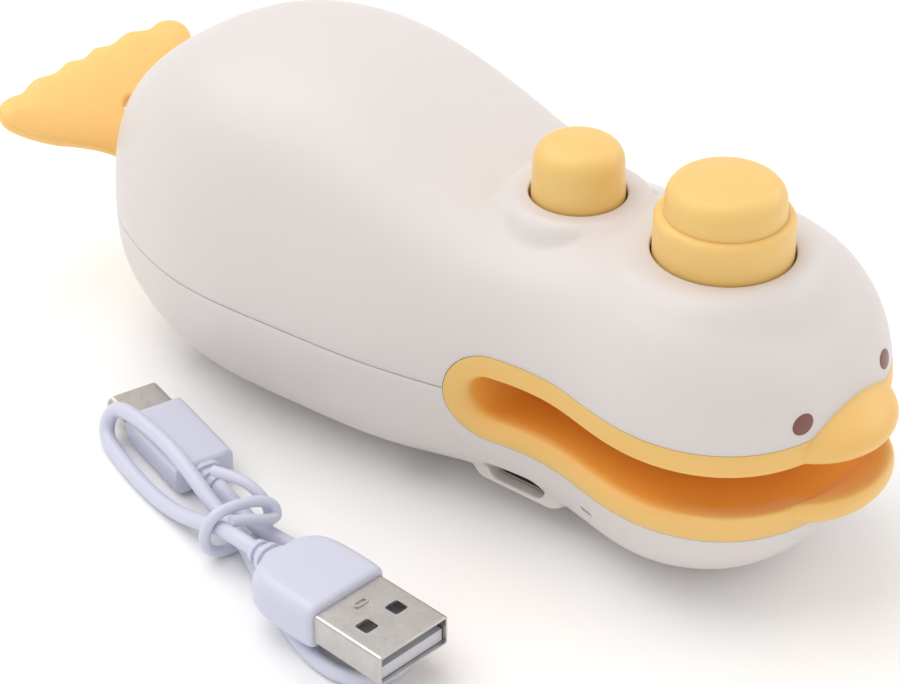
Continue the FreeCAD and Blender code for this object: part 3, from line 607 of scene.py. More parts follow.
def lower_skin(x, z):
    """Distance of the lower side skin from the middle plane, with the port's boss on it."""
    beyond = np.maximum(stadium_distance(x, z, PORT, PORT_BOSS) + 0.5, 0)
    return smooth_max(side(x, z), PORT_FACE - 2.2 * beyond ** 2, 0.5)


def slot_height(x, half):
    """Half height of the liner's outline at x, 0 behind it."""
    inside = np.clip(half ** 2 - np.minimum(x - SLOT_ARC_X, 0) ** 2, 0, None)
    return np.sqrt(inside)


class Skin:
    """A sheet of quads on the outer skin with a matching inner point for each of its points."""

    def __init__(self, outer, inner):
        rows, columns = outer.shape[:2]
        self.outer = [outer.reshape(-1, 3)]
        self.inner = [inner.reshape(-1, 3)]
        self.index = np.arange(rows * columns).reshape(rows, columns)
        self.count = rows * columns
        self.kept = np.ones((rows - 1, columns - 1), bool)
        self.faces = []

    def open(self, i0, i1, j0, j1, rings):
        """Replaces the cells from i0, j0 to i1, j1 by rings of (outer, inner) points."""
        self.kept[i0:i1, j0:j1] = False
        loop = self.perimeter(i0, i1, j0, j1)
        for outer, inner in rings:
            ring = self.count + np.arange(len(loop))
            self.outer.append(outer)
            self.inner.append(inner)
            self.count += len(loop)
            step = np.roll(np.arange(len(loop)), -1)
            self.faces += list(zip(loop, loop[step], ring[step], ring))
            loop = ring

    def perimeter(self, i0, i1, j0, j1):
        index = self.index
        return np.concatenate([index[i0:i1, j0], index[i1, j0:j1], index[i1:i0:-1, j1],
                               index[i0, j1:j0:-1]])

    def solid(self, name, sharp=40.0):
        """Closed mesh between the outer and the inner skin."""
        a = self.index[:-1, :-1][self.kept]
        b = self.index[1:, :-1][self.kept]
        c = self.index[1:, 1:][self.kept]
        d = self.index[:-1, 1:][self.kept]
        faces = list(zip(a, b, c, d)) + self.faces
        edges = {}
        for face in faces:
            for p, q in zip(face, face[1:] + face[:1]):
                edges[(p, q)] = True
        walls = [(q, p, p + self.count, q + self.count) for p, q in edges if (q, p) not in edges]
        backs = [tuple(k + self.count for k in reversed(face)) for face in faces]
        points = np.concatenate(self.outer + self.inner)
        return build(name, points, faces + walls + backs, sharp)


EDGE = 0.13               # rounding along the parting line
EDGE_ROWS = (0.0, 0.3, 1.0)
CALM = (8.5, 0.6)         # rows follow the slot's outline only down to this depth, or share


def skin_grid(places, upper, inset):
    """Points of one casing half from its right edge over the middle to its left edge."""
    x, half, up, down = section(places, inset)
    outline = slot_height(section(places)[0], LINER_HALF)
    full = UPPER_FULLNESS if upper else LOWER_FULLNESS
    reach = up if upper else down
    edge = np.maximum(outline, PARTING_GAP if upper else 0.0)
    heights = [np.minimum((edge + EDGE * row) / np.maximum(reach, 1e-6), 1) for row in EDGE_ROWS]
    firsts = [solve(lambda t: quarter(t, full)[1], h) for h in heights]
    calm = np.minimum(CALM[0] / np.maximum(reach, 1e-6), CALM[1])
    calm = np.maximum(calm, heights[-1] + 0.3 * (1 - heights[-1]))
    middle = solve(lambda t: quarter(t, full)[1], calm)
    rows = firsts + [firsts[-1] + (middle - firsts[-1]) * t for t in np.linspace(0, 1, 14)[1:]]
    rows += [middle + (1 - middle) * t for t in np.linspace(0, 1, 51)[1:]]
    wide, high = quarter(np.array(rows).T, full)
    sign = 1 if upper else -1
    right = np.stack([np.broadcast_to(x[:, None], wide.shape), -half[:, None] * wide,
                      PARTING_Z + sign * reach[:, None] * high], -1)
    left = right[:, -2::-1] * (1, -1, 1)
    return np.concatenate([right, left], 1)


def round_edges(grid):
    """Rolls the first and last rows in along the skin's normal."""
    along_i = np.gradient(grid, axis=0)
    along_j = np.gradient(grid, axis=1)
    normal = np.cross(along_i, along_j)
    normal /= np.maximum(np.linalg.norm(normal, axis=-1, keepdims=True), 1e-9)
    middle = grid[grid.shape[0] // 2, grid.shape[1] // 2]
    outward = np.sign(normal[grid.shape[0] // 2, grid.shape[1] // 2] @ (middle - (0, 0, PARTING_Z)))
    for row, share in enumerate(EDGE_ROWS):
        depth = EDGE * (1 - math.sqrt(max(1 - (1 - share) ** 2, 0)))
        for j in (row, grid.shape[1] - 1 - row):
            grid[:, j] -= outward * normal[:, j] * depth
    return grid


def skin_places(reach, rear, front):
    """Places along the casing: even, with the slot's round end in equal steps of its arc."""
    first = PLACES[np.argmax(reach > rear)]
    last = PLACES[len(PLACES) - 1 - np.argmax(reach[::-1] > front)]
    arc = SLOT_ARC_X - LINER_HALF * np.cos(np.linspace(0, math.pi / 2, 15))
    arc_places = place_of(arc)
    return np.concatenate([np.linspace(first, arc_places[0], 130)[:-1], arc_places,
                           np.linspace(arc_places[-1], last, 95)[1:]])


def cells_round(grid, axis, centre, reach_a, reach_b, rows):
    """Grid cells that hold a box round centre, measured in x and in y or z (axis 1 or 2)."""
    xs = grid[:, grid.shape[1] // 2, 0]
    i0 = np.searchsorted(xs, centre[0] - reach_a) - 1
    i1 = np.searchsorted(xs, centre[0] + reach_a)
    line = grid[(i0 + i1) // 2, :, axis]
    inside = [j for j in rows if abs(line[j] - centre[1]) <= reach_b]
    return i0, i1, inside[0], inside[-1]


def top_hole(skin, grid, x, radius, rounding):
    reach = radius + 2.4
    cells = cells_round(grid, 1, (x, 0.0), reach, reach, range(grid.shape[1]))
    edge = grid.reshape(-1, 3)[skin.perimeter(*cells)]
    angle = np.arctan2(edge[:, 1], edge[:, 0] - x)
    far = np.hypot(edge[:, 1], edge[:, 0] - x)
    steps = [(far + (radius + rounding - far) * t, 0.0) for t in (0.2, 0.4, 0.6, 0.8, 0.92, 1.0)]
    for a in np.radians((22.5, 45, 67.5, 90)):
        steps.append((np.full(far.shape, radius + rounding * (1 - math.sin(a))),
                      rounding * (1 - math.cos(a))))
    rings = []
    for r, drop in steps:
        px = x + r * np.cos(angle)
        py = r * np.sin(angle)
        rings.append((np.stack([px, py, upper_skin(px, py) - drop], -1),
                      np.stack([px, py, top(px, py, WALL)], -1)))
    skin.open(*cells, rings)


def side_hole(skin, grid, centre, reach, shapes, rounding):
    """Opening in the right side: rings follow ovals of these sizes, the last with a rounding."""
    rows = range(3, grid.shape[1] // 2 - 4)
    cells = cells_round(grid, 2, centre, reach[0], reach[1], rows)
    edge = grid.reshape(-1, 3)[skin.perimeter(*cells)]
    angle = np.arctan2(edge[:, 2] - centre[1], edge[:, 0] - centre[0])
    far = np.hypot(edge[:, 2] - centre[1], edge[:, 0] - centre[0])
    steps = []
    last = far
    for size in shapes:
        r = stadium_radius(angle, size)
        steps += [((last + r) / 2, 0.0), (r, 0.0)]
        last = r
    opening = shapes[-1]
    for a in np.radians((30, 60, 90)):
        grow = -2 * rounding * math.sin(a)
        steps.append((stadium_radius(angle, (opening[0] + grow, opening[1] + grow)),
                      rounding * (1 - math.cos(a))))
    rings = []
    for r, depth in steps:
        px = centre[0] + r * np.cos(angle)
        pz = centre[1] + r * np.sin(angle)
        rings.append((np.stack([px, depth - lower_skin(px, pz), pz], -1),
                      np.stack([px, -side(px, pz, WALL), pz], -1)))
    skin.open(*cells, rings)


def make_upper_shell():
    places = skin_places(PLACE_UP, 0.6, LINER_HALF + 0.25)
    grid = round_edges(skin_grid(places, True, 0.0))
    grid[..., 2] = np.where(grid[..., 2] > SEAT_Z - 12, with_seats(*np.moveaxis(grid, -1, 0)),
                            grid[..., 2])
    skin = Skin(grid, skin_grid(places, True, WALL))
    top_hole(skin, grid, SEAL_X, SEAL_HOLE - 0.08, 0.3)
    top_hole(skin, grid, CUT_X, CUT_HOLE - 0.05, 0.3)
    shell = skin.solid("upper_casing")
    return finish_piece(shell, WHITE, "casing", "white_shell", "upper_shell")


def cylinder(name, x, y, z0, z1, radius, segments=48):
    """Upright cylinder; z0 is one height or a height for each place (x, y) round its foot."""
    angles = np.linspace(0, 2 * math.pi, segments, endpoint=False)
    px = x + radius * np.cos(angles)
    py = y + radius * np.sin(angles)
    foot = z0(px, py) if callable(z0) else np.full(segments, float(z0))
    points = np.concatenate([np.stack([px, py, foot], -1),
                             np.stack([px, py, np.full(segments, z1)], -1),
                             [(x, y, foot.mean()), (x, y, z1)]])
    fans = [(k, (k + 1) % segments, 2 * segments) for k in range(segments)]
    fans += [(segments + k, segments + (k + 1) % segments, 2 * segments + 1)
             for k in range(segments)]
    return build(name, points, grid_faces(2, segments, wrap=True) + fans)


def boss_foot(x, y):
    return np.maximum(top(x, y, WALL / 2, upper=False), WALL / 2)


def make_lower_shell():
    places = skin_places(PLACE_DOWN, 0.6, LINER_HALF + 0.25)
    grid = round_edges(skin_grid(places, False, 0.0))
    grid[..., 2] = smooth_max(grid[..., 2], np.full(grid.shape[:2], BASE_Z), 0.4)
    inner = skin_grid(places, False, WALL)
    skin = Skin(grid, inner)
    grown = [(PORT_BOSS[0] + g, PORT_BOSS[1] + g) for g in (1.6, 0.8, 0.2, -0.5, -1.2)]
    rim = (PORT_OPENING[0] + 2 * PORT_RIM, PORT_OPENING[1] + 2 * PORT_RIM)
    side_hole(skin, grid, PORT, (10.6, 4.5), grown + [rim], PORT_RIM)
    slit = (LIGHT_SIZE[0] + 0.24, LIGHT_SIZE[1] + 0.24)
    side_hole(skin, grid, LIGHT, (2.6, 2.1), [(3.4, 2.2), slit], 0.12)
    shell = skin.solid("lower_casing")
    for x, y in SCREW_SPOTS:
        boss = cylinder("boss", x, y, boss_foot, PARTING_Z - 0.3, 3.2)
        combine(shell, boss, "UNION")
    for x, y in SCREW_SPOTS:
        combine(shell, cylinder("well", x, y, -1.0, SCREW_HEAD_Z, 2.5), "DIFFERENCE")
    return finish_piece(shell, WHITE, "casing", "white_shell", "lower_shell")


# --- mouth liner and lips -------------------------------------------------------------------

def nose_radius(angle, z):
    """Distance from (NOSE_X, 0) to the skin at height z in each direction."""
    def outside(r):
        x = NOSE_X + r * np.cos(angle)
        y = np.abs(r * np.sin(angle))
        return y - side(x, z)
    return solve(outside, np.zeros(np.shape(z)), high=30.0, steps=34)


def liner_rows(rounding, raised):
    """(offset from the slot's middle, depth behind the skin) of one section of the liner."""
    edge = 0.12
    outer = LINER_HALF - 0.04
    inner = SLOT_HALF - raised + rounding
    rows = [(outer, None), (outer, 3.0), (outer, edge), (outer - 0.3 * edge, 0.3 * edge),
            (outer - edge, 0.0)]
    for share in (0.3, 0.65):
        rows.append((outer - edge + (inner - outer + edge) * share, 0.0))
    for a in np.radians(np.linspace(0, 90, 10)):
        rows.append((inner - rounding * math.sin(a), rounding * (1 - math.cos(a))))
    for share in (0.1, 0.35, 0.65, 0.9, 1.0):
        fall = raised * float(ease(share, 0, 1))
        rows.append((SLOT_HALF - raised + fall, rounding + 0.2 + 3.5 * share))
    return rows + [(SLOT_HALF, None)]


UPPER_EDGE = 0.45         # rounding of the slot's upper edge
LOWER_EDGE = 2.3          # and of its lower edge
FRONT_EDGE = 0.5          # which is tighter, and stands a little higher, round the front
FRONT_RAISED = 0.85


def liner_block(columns):
    """Points for columns of (kind, place, side, rounding), row by row of each section."""
    kinds = np.array([c[0] for c in columns])
    places = np.array([c[1] for c in columns])
    sides = np.array([c[2] for c in columns])
    rows = np.array([[(q, -1 if d is None else d) for q, d in liner_rows(c[3], c[4])]
                     for c in columns])
    offset = rows[..., 0]
    depth = rows[..., 1]
    middle = depth < 0
    place = places[:, None]
    lift = np.where(kinds == "low", -1, 1)[:, None]
    arc = (kinds == "arc")[:, None]
    nose = (kinds == "nose low") | (kinds == "nose high")
    lift = np.where((kinds == "nose low")[:, None], -1, lift)
    x = np.where(arc, SLOT_ARC_X - offset * np.cos(place), place)
    z = np.where(arc, PARTING_Z + offset * np.sin(place), PARTING_Z + lift * offset)
    points = np.zeros((*offset.shape, 3))
    plain = ~nose
    wide = side(x[plain], z[plain]) - depth[plain]
    points[plain] = np.stack([x[plain], sides[plain, None] * np.where(middle[plain], 0, wide),
                              z[plain]], -1)
    angle = np.broadcast_to(place, offset.shape)[nose]
    reach = np.where(middle[nose], 0, nose_radius(angle, z[nose]) - depth[nose])
    points[nose] = np.stack([NOSE_X + reach * np.cos(angle), reach * np.sin(angle), z[nose]], -1)
    return points


def liner_columns():
    """Columns once round: right side, nose above, left side, nose below."""
    straight = np.linspace(SLOT_ARC_X, NOSE_X, 46)
    arc = np.linspace(-math.pi / 2, math.pi / 2, 27)
    nose = np.linspace(-math.pi / 2, math.pi / 2, 92)[1:-1]

    def arc_edge(a):
        share = 0.5 - 0.5 * math.sin(a)
        return UPPER_EDGE + (LOWER_EDGE - UPPER_EDGE) * share ** 0.8

    def front_edge(a):
        side_share = float(ease(abs(a), math.radians(66), math.radians(90)))
        lip_share = float(ease(abs(a), math.radians(24), math.radians(36)))
        return (FRONT_EDGE + (LOWER_EDGE - FRONT_EDGE) * side_share,
                FRONT_RAISED * (1 - side_share) * lip_share)

    right = [("low", x, -1, LOWER_EDGE, 0.0) for x in straight[:0:-1]]
    right += [("arc", a, -1, arc_edge(a), 0.0) for a in arc]
    right += [("high", x, -1, UPPER_EDGE, 0.0) for x in straight[1:]]
    left = [(kind, place, 1, edge, 0.0) for kind, place, _, edge, _ in reversed(right)]
    above = [("nose high", a, 1, UPPER_EDGE, 0.0) for a in nose]
    below = [("nose low", a, 1, *front_edge(a)) for a in nose[::-1]]
    return right + above + left + below


def lip(name, axes, profile, rear, inside=None):
    """Oval lip from (share of its half axes, z) points; behind its middle it is only rear deep.

    Within the mouth its upper side sinks to the height given by inside.
    """
    angles = np.linspace(0, 2 * math.pi, 144, endpoint=False)
    long = np.where(np.cos(angles) > 0, axes[0], rear)
    rows = []
    for share, z in profile:
        rows.append(np.stack([LIP_X + share * long * np.cos(angles),
                              share * axes[1] * np.sin(angles), np.full(len(angles), z)], -1))
    points = np.array(rows)
    if inside is not None:
        angle = np.arctan2(points[..., 1], points[..., 0] - NOSE_X)
        reach = np.hypot(points[..., 1], points[..., 0] - NOSE_X)
        outside = reach - nose_radius(angle, np.full(angle.shape, 19.0))
        share = ease(outside, -2.6, 0.1)
        upper = points[..., 2] > inside
        sunk = inside + (points[..., 2] - inside) * share
        points[..., 2] = np.where(upper, sunk, points[..., 2])
    return build(name, points.reshape(-1, 3), grid_faces(len(profile), len(angles), wrap=True))


def lip_shares():
    return np.sin(np.linspace(0, math.pi / 2, 30))


def upper_lip():
    shares = lip_shares()
    dome = UPPER_LIP[2] * np.sqrt(1 - shares ** 2)
    under = smooth_max(UPPER_LIP_Z - dome, np.full(shares.shape, UPPER_LIP_CUT), 0.9)
    inward = np.clip((0.85 - shares) / 0.25, 0, 1)
    under += 0.9 * inward ** 2 * (3 - 2 * inward)
    profile = list(zip(shares, UPPER_LIP_Z + dome)) + list(zip(shares, under))[-2::-1]
    return lip("upper_lip", UPPER_LIP, profile, 4.5)


def lower_lip():
    shares = lip_shares()
    dome = LOWER_LIP[2] * np.sqrt(1 - shares ** 2)
    dish = DISH_Z - DISH_DEPTH * np.sqrt(np.clip(1 - (shares / DISH_SHARE) ** 2, 0, 1))
    rim = smooth_min(dish, LOWER_LIP_Z + dome, 1.5)
    rim = smooth_min(rim, np.full(shares.shape, LIP_RIM_Z + 0.15), 0.6)
    profile = list(zip(shares, rim)) + list(zip(shares, LOWER_LIP_Z - dome))[-2::-1]
    return lip("lower_lip", LOWER_LIP, profile, 5.0, PARTING_Z - SLOT_HALF - 0.3)


def box_mesh(name, low, high):
    corners = [(x, y, z) for z in (low[2], high[2])
               for x, y in ((low[0], low[1]), (high[0], low[1]), (high[0], high[1]),
                            (low[0], high[1]))]
    return build(name, corners, grid_faces(2, 4, wrap=True) + [(0, 1, 2, 3), (4, 5, 6, 7)])


def make_liner():
    columns = liner_columns()
    points = liner_block(columns)
    rows = points.shape[1]
    count = len(columns)
    faces = []
    for i in range(count):
        k = (i + 1) % count
        for j in range(rows - 1):
            faces.append((i * rows + j, k * rows + j, k * rows + j + 1, i * rows + j + 1))
    liner = build("mouth_band", points.reshape(-1, 3), faces)
    combine(liner, upper_lip(), "UNION", 34)
    combine(liner, lower_lip(), "UNION", 34)
    low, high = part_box("anvil_pad")
    pockets = [((SEAL_X - 4.8, -10.3, PARTING_Z), (SEAL_X + 4.8, 10.3, 32)),
               ((CUT_X - 0.6, -4.0, 16.3), (CUT_X + 0.6, 4.0, 32)),
               (low / MM, Vector((high.x, high.y, high.z + 0.002)) / MM)]
    for corners in pockets:
        combine(liner, box_mesh("pocket", *corners), "DIFFERENCE", 34)
    mark_painted_shade(liner)
    return finish_piece(liner, YELLOW, "casing", "yellow_trim", "mouth_liner")


def mark_painted_shade(obj):
    """Writes the painted shade of the mouth on each vertex: from 0 on the skin to 1 well inside the
    mouth, and high in the lower lip's hollow under the upper lip.
    """
    count = len(obj.data.vertices)
    flat = np.empty(count * 3)
    obj.data.vertices.foreach_get("co", flat)
    x, y, z = (flat.reshape(-1, 3) / MM).T
    angle = np.arctan2(y, x - NOSE_X)
    reach = nose_radius(np.where(x > NOSE_X, angle, 0.0), z)
    nose = reach - np.hypot(y, x - NOSE_X)
    behind = np.where(x > NOSE_X, nose, side(x, z) - np.abs(y))
    mouth = ease(behind, 0.3, 3.2)
    share = np.hypot((x - LIP_X) / LOWER_LIP[0], y / LOWER_LIP[1])
    dish = (1 - ease(share, 0.62, 0.97)) * (z > LOWER_LIP_Z - 0.5) * (z < LIP_RIM_Z + 0.3)
    # painted shade: strongest deep in the mouth and in the middle of the lower lip's hollow, kept
    # to the slot's height
    deep = np.maximum(mouth, dish) * (np.abs(z - PARTING_Z) < SLOT_HALF + 0.4)
    values = obj.data.attributes.new("deep", "FLOAT", "POINT")
    values.data.foreach_set("value", deep.astype(np.float32))


def make_eye(sign, name, node):
    """Oval insert with a slightly domed face that follows the skin."""
    turn = math.radians(EYE_TURN)
    forward = np.array([math.cos(turn), sign * math.sin(turn), 0.0])
    across = np.array([-math.sin(turn), sign * math.cos(turn), 0.0])
    start = np.array([EYE_START[0], sign * EYE_START[1], EYE_START[2]])
    angles = np.linspace(0, 2 * math.pi, 64, endpoint=False)
    shares = (0.001, 0.25, 0.5, 0.7, 0.85, 0.94, 0.985, 1.0)
    points = []
    for share in shares:
        local = (start + share * EYE_HALF[0] * np.cos(angles)[:, None] * across
                 + share * EYE_HALF[1] * np.sin(angles)[:, None] * (0, 0, 1))

        def outside(t):
            p = local + t[:, None] * forward
            return np.abs(p[:, 1]) - side(p[:, 0], p[:, 2])

        t = solve(outside, np.zeros(len(angles)), high=12.0)
        dome = 0.02 + 0.14 * math.sqrt(1 - share ** 2)
        points.append(local + (t + dome)[:, None] * forward)
    points.append(points[-1] - 0.5 * forward)
    points.append(points[0] - 0.6 * forward)
    eye = build(name, np.concatenate(points), grid_faces(len(points), len(angles), wrap=True))
    return finish_piece(eye, EYE, "casing", "eye_brown", node)


def oval_stack(name, centre, rows, count):
    """Closed body through lying ovals: (size, share of it, y) rows, y as one number or a rule."""
    angles = np.linspace(0, 2 * math.pi, count, endpoint=False)
    points = []
    for size, share, y in rows:
        r = share * stadium_radius(angles, size)
        x = centre[0] + r * np.cos(angles)
        z = centre[1] + r * np.sin(angles)
        points.append(np.stack([x, y(x, z) if callable(y) else np.full(count, y), z], -1))
    return build(name, np.concatenate(points), grid_faces(len(rows), count, wrap=True))


def behind_skin(depth):
    return lambda x, z: depth - side(x, z)


def make_light_lens():
    """Clear insert a little below the skin."""
    rows = [(LIGHT_SIZE, share, behind_skin(depth))
            for share, depth in ((0.01, 0.25), (0.8, 0.25), (0.97, 0.32), (1.0, 0.45), (1.0, 1.8),
                                 (0.01, 1.8))]
    lens = oval_stack("charge_lens", LIGHT, rows, 48)
    return finish_piece(lens, LENS, "casing", "light_clear", "charge_light")


def make_port_core():
    """Black insulator of the receptacle: a block with a thin tongue standing out of it. The block
    stands only 0.6 mm behind the mouth and fills the receptacle: partly the real black insulator,
    partly painted shade for its shaded inside.
    """
    low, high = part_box("port_tongue")
    shell_low, shell_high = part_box("port_shell")
    mouth = shell_low.y / MM
    block = ((shell_high.x - shell_low.x) / MM - 0.66, (shell_high.z - shell_low.z) / MM - 0.66)
    tongue = ((high.x - low.x) / MM, (high.z - low.z) / MM)
    # the block so near the mouth is painted shade: it blacks out the receptacle's shaded inside
    rows = [(tongue, 0.01, mouth + 0.2), (tongue, 0.96, mouth + 0.2), (tongue, 1.0, mouth + 0.3),
            (tongue, 1.0, mouth + 0.55), (block, 1.0, mouth + 0.6), (block, 1.0, mouth + 6.0),
            (block, 0.01, mouth + 6.0)]
    core = oval_stack("port_insulator", PORT, rows, 96)
    return finish_piece(core, TONGUE, "casing", "tongue_black", "port_tongue")


# --- buttons --------------------------------------------------------------------------------

def make_seal_button():
    low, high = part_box("seal_button")
    base = low.z / MM
    crown = high.z / MM
    profile = [(0.001, crown)]
    profile += [(r, crown - 0.34 * (r / 4.6) ** 2) for r in np.linspace(0.6, 4.3, 8)]
    profile += rounded([(4.5, crown - 0.36, 0), (7.68, crown - 0.8, 2.5), (7.95, 50.0, 0),
                        (9.15, 50.2, 1.1), (9.2, base, 0.2), (7.7, base, 0)], steps=12)
    profile += [(7.7, 48.5), (6.4, 48.5), (6.4, 53.0), (0.001, 53.0)]
    button = lathe("seal_button_cap", profile, SEAL_X)
    return finish_piece(button, BUTTON, "seal_press", "yellow_button", "seal_button")


def make_cutter_button():
    low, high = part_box("cutter_button")
    base = low.z / MM
    crown = high.z / MM
    profile = [(0.001, crown)]
    profile += [(r, crown - 0.3 * (r / 3.0) ** 2) for r in np.linspace(0.4, 2.8, 7)]
    profile += rounded([(2.95, crown - 0.32, 0), (6.0, crown - 0.75, 2.75), (6.35, base, 0.2),
                        (5.0, base, 0)], steps=14)
    profile += [(5.0, 50.0), (0.001, 50.0)]
    button = lathe("cutter_button_cap", profile, CUT_X)
    return finish_piece(button, BUTTON, "cutter", "yellow_button", "cutter_button")


def make_spring(name, node, joint, x, radius, travel):
    """Return spring, a helix of round wire."""
    low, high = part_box(node)
    foot = low.z / MM + SPRING_GAP
    height = high.z / MM - SPRING_GAP - foot
    sides = 12
    points = []
    steps = SPRING_TURNS * 48
    for k in range(steps + 1):
        turn = 2 * math.pi * SPRING_TURNS * k / steps
        z = foot + SPRING_WIRE + (height - 2 * SPRING_WIRE) * k / steps
        for j in range(sides):
            a = 2 * math.pi * j / sides
            r = radius + SPRING_WIRE * math.cos(a)
            points.append((x + r * math.cos(turn), r * math.sin(turn),
                           z + SPRING_WIRE * math.sin(a)))
    last = steps * sides
    caps = [tuple(range(sides)), tuple(range(last, last + sides))]
    coil = build(name, points, grid_faces(steps + 1, sides, wrap=True) + caps)
    finish_piece(coil, SPRING, "casing", "spring_steel", node)
    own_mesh(coil)


# --- tail -----------------------------------------------------------------------------------

def closed_curve(points, count):
    """Smooth closed curve through points, sampled at even angles about the hole's middle."""
    points = np.array(points, float)
    fine = []
    for i in range(len(points)):
        near = [points[(i + k) % len(points)] for k in (-1, 0, 1, 2)]
        fine += [between(*near, t) for t in np.linspace(0, 1, 24, endpoint=False)]
    fine = np.array(fine)
    angle = np.arctan2(fine[:, 1] - TAIL_CENTRE, fine[:, 0])
    radius = np.hypot(fine[:, 1] - TAIL_CENTRE, fine[:, 0])
    order = np.argsort(angle)
    wanted = np.linspace(-math.pi, math.pi, count, endpoint=False)
    return wanted, np.interp(wanted, angle[order], radius[order], period=2 * math.pi)


def tail_point(y, t, n):
    a = TAIL_TILT
    return np.stack([REAR_X - t * math.cos(a) + n * math.sin(a), y,
                     PARTING_Z + t * math.sin(a) + n * math.cos(a)], -1)


def make_feet():
    """Low round feet with softened rims, one mesh in each pocket under the casing."""
    for number, (x, y) in enumerate(FOOT_SPOTS, 1):
        profile = [(0.001, 0.0)] + rounded([(1.6, 0.0, 0), (FOOT_R - 0.02, 0.0, 0.25),
                                            (FOOT_R, FOOT_HEIGHT, 0.05), (0.8, FOOT_HEIGHT, 0)])
        profile.append((0.001, FOOT_HEIGHT))
        foot = lathe("foot_%d" % number, profile, x, y, segments=64)
        finish_piece(foot, FOOT, "casing", "foot_rubber", "base_feet")


def make_tail():
    """Puffed fan: a soft upper half, a fine moulding line round its edge, a flatter lower half."""
    count = 420
    outline = TAIL_HALF + [(0, TAIL_TIP)] + [(-y, t) for y, t in reversed(TAIL_HALF)]
    angle, outer = closed_curve(outline, count)
    _, hole = closed_curve(TAIL_HOLE, count)
    rim = np.stack([outer * np.cos(angle), outer * np.sin(angle)], -1)

    def ring(share, height):
        r = hole + (outer - hole) * share
        y = r * np.cos(angle)
        t = TAIL_CENTRE + r * np.sin(angle)
        flat = np.stack([y, t - TAIL_CENTRE], -1)
        gap = np.sqrt(((flat[:, None] - rim[None]) ** 2).sum(-1)).min(1)
        inner_gap = r - hole
        return tail_point(y, t, height(gap, inner_gap))

    half = TAIL_T / 2

    def swell(gap, width):
        return np.sqrt(1 - (1 - np.minimum(gap / width, 1)) ** 2)

    def pillow(gap, inner_gap):
        return 0.12 + (half + 0.35 - 0.12) * swell(gap, 6.5) - 0.5 * (1 - swell(inner_gap, 0.8))

    def under(gap, inner_gap):
        return -0.45 - (half - 0.45) * swell(gap, 1.3) + 0.6 * (1 - swell(inner_gap, 0.7))

    shares = 1 - (1 - np.linspace(0, 1, 40)) ** 1.8
    shares[-1] = 0.9985
    rows = [ring(s, pillow) for s in shares]
    for grow, level in ((0.12, 0.14), (0.22, 0.06), (0.22, -0.16), (0.05, -0.26), (-0.05, -0.45)):
        r = outer + grow
        rows.append(tail_point(r * np.cos(angle), TAIL_CENTRE + r * np.sin(angle),
                               np.full(count, level)))
    rows += [ring(s, under) for s in shares[-2::-1]]
    points = np.concatenate(rows)
    points = np.concatenate([points, rows[0]])
    tail = build("tail_fan", points, grid_faces(len(rows) + 1, count, wrap=True), 50)
    return finish_piece(tail, RUBBER, "casing", "tail_rubber", "tail_loop")


# --- charging lead --------------------------------------------------------------------------

def place_on_table(points, tip, angle, height):
    a = math.radians(angle)
    points = np.asarray(points, float)
    x = tip[0] + points[:, 0] * math.cos(a) - points[:, 1] * math.sin(a)
    y = tip[1] + points[:, 0] * math.sin(a) + points[:, 1] * math.cos(a)
    return np.stack([x, y, points[:, 2] + height], -1)


def oblong(wide, high, corner, count=96):
    """Section with rounded corners, as count points (y, z) at matching places."""
    corner = min(corner, wide, high)
    path = []
    each = count // 4
    for quadrant, (sy, sz) in enumerate(((1, 1), (-1, 1), (-1, -1), (1, -1))):
        for k in range(each):
            a = math.pi / 2 * (quadrant + k / (each - 1))
            path.append((sy * (wide - corner) + corner * math.cos(a),
                         sz * (high - corner) + corner * math.sin(a)))
    return path


def loft(name, stations, place, sharp=40.0):
    """Closed body through (x, half width, half height, corner) stations."""
    points = []
    for x, wide, high, corner in stations:
        points += [(x, y, z) for y, z in oblong(wide, high, corner)]
    count = len(points) // len(stations)
    last = len(points) - count
    caps = [tuple(range(count)), tuple(range(last, last + count))]
    return build(name, place_on_table(points, *place), grid_faces(len(stations), count, wrap=True)
                 + caps, sharp)


def eased(stations, steps=6):
    """Smooth run through stations, each with its full set of sizes."""
    stations = np.array(stations, float)
    result = []
    for i in range(len(stations) - 1):
        near = [stations[min(max(i + k, 0), len(stations) - 1)] for k in (-1, 0, 1, 2)]
        result += [between(*near, t) for t in np.linspace(0, 1, steps, endpoint=False)]
    result.append(stations[-1])
    return [tuple(row) for row in result]


def relief_stations(start, length, wide, high, end, rings):
    """Strain relief with rings cut between its ribs."""
    stations = []
    rib = length / (2 * rings + 1)
    for k in range(2 * rings + 1):
        share0 = k / (2 * rings + 1)
        share1 = (k + 1) / (2 * rings + 1)
        deep = 0.45 if k % 2 else 0.0
        for share, inset in ((share0, 0.02), (share1, -0.02)):
            w = wide + (end - wide) * share - deep
            h = high + (end - high) * share - deep
            x = start - rib * (k if share == share0 else k + 1) - inset
            stations.append((x, w, h, min(w, h) * 0.9))
    return stations


A_PLACE = (A_TIP, A_ANGLE, A_Z)
C_PLACE = (C_TIP, C_ANGLE, C_Z)


def make_a_body():
    front = -A_SHELL[0]
    stations = eased([(front + 0.02, 5.9, 2.6, 0.9), (front - 0.25, 6.5, 3.15, 1.3),
                      (front - 1.2, 6.8, 3.45, 1.7), (front - 5.0, 6.95, 3.5, 1.9),
                      (front - 8.5, 6.85, 3.45, 2.0), (front - 10.8, 6.4, 3.3, 2.2),
                      (front - 12.2, 5.4, 3.05, 2.4), (front - 12.8, 4.4, 2.8, 2.4),
                      (front - 13.0, 3.0, 2.5, 2.2)])
    stations += relief_stations(front - A_BODY, A_RELIEF, 2.7, 2.3, 1.5, 2)
    body = loft("usb_a_overmould", stations, A_PLACE, 45)
    return finish_piece(body, LEAD, "charging_lead", "lead_white", "usb_a_body")


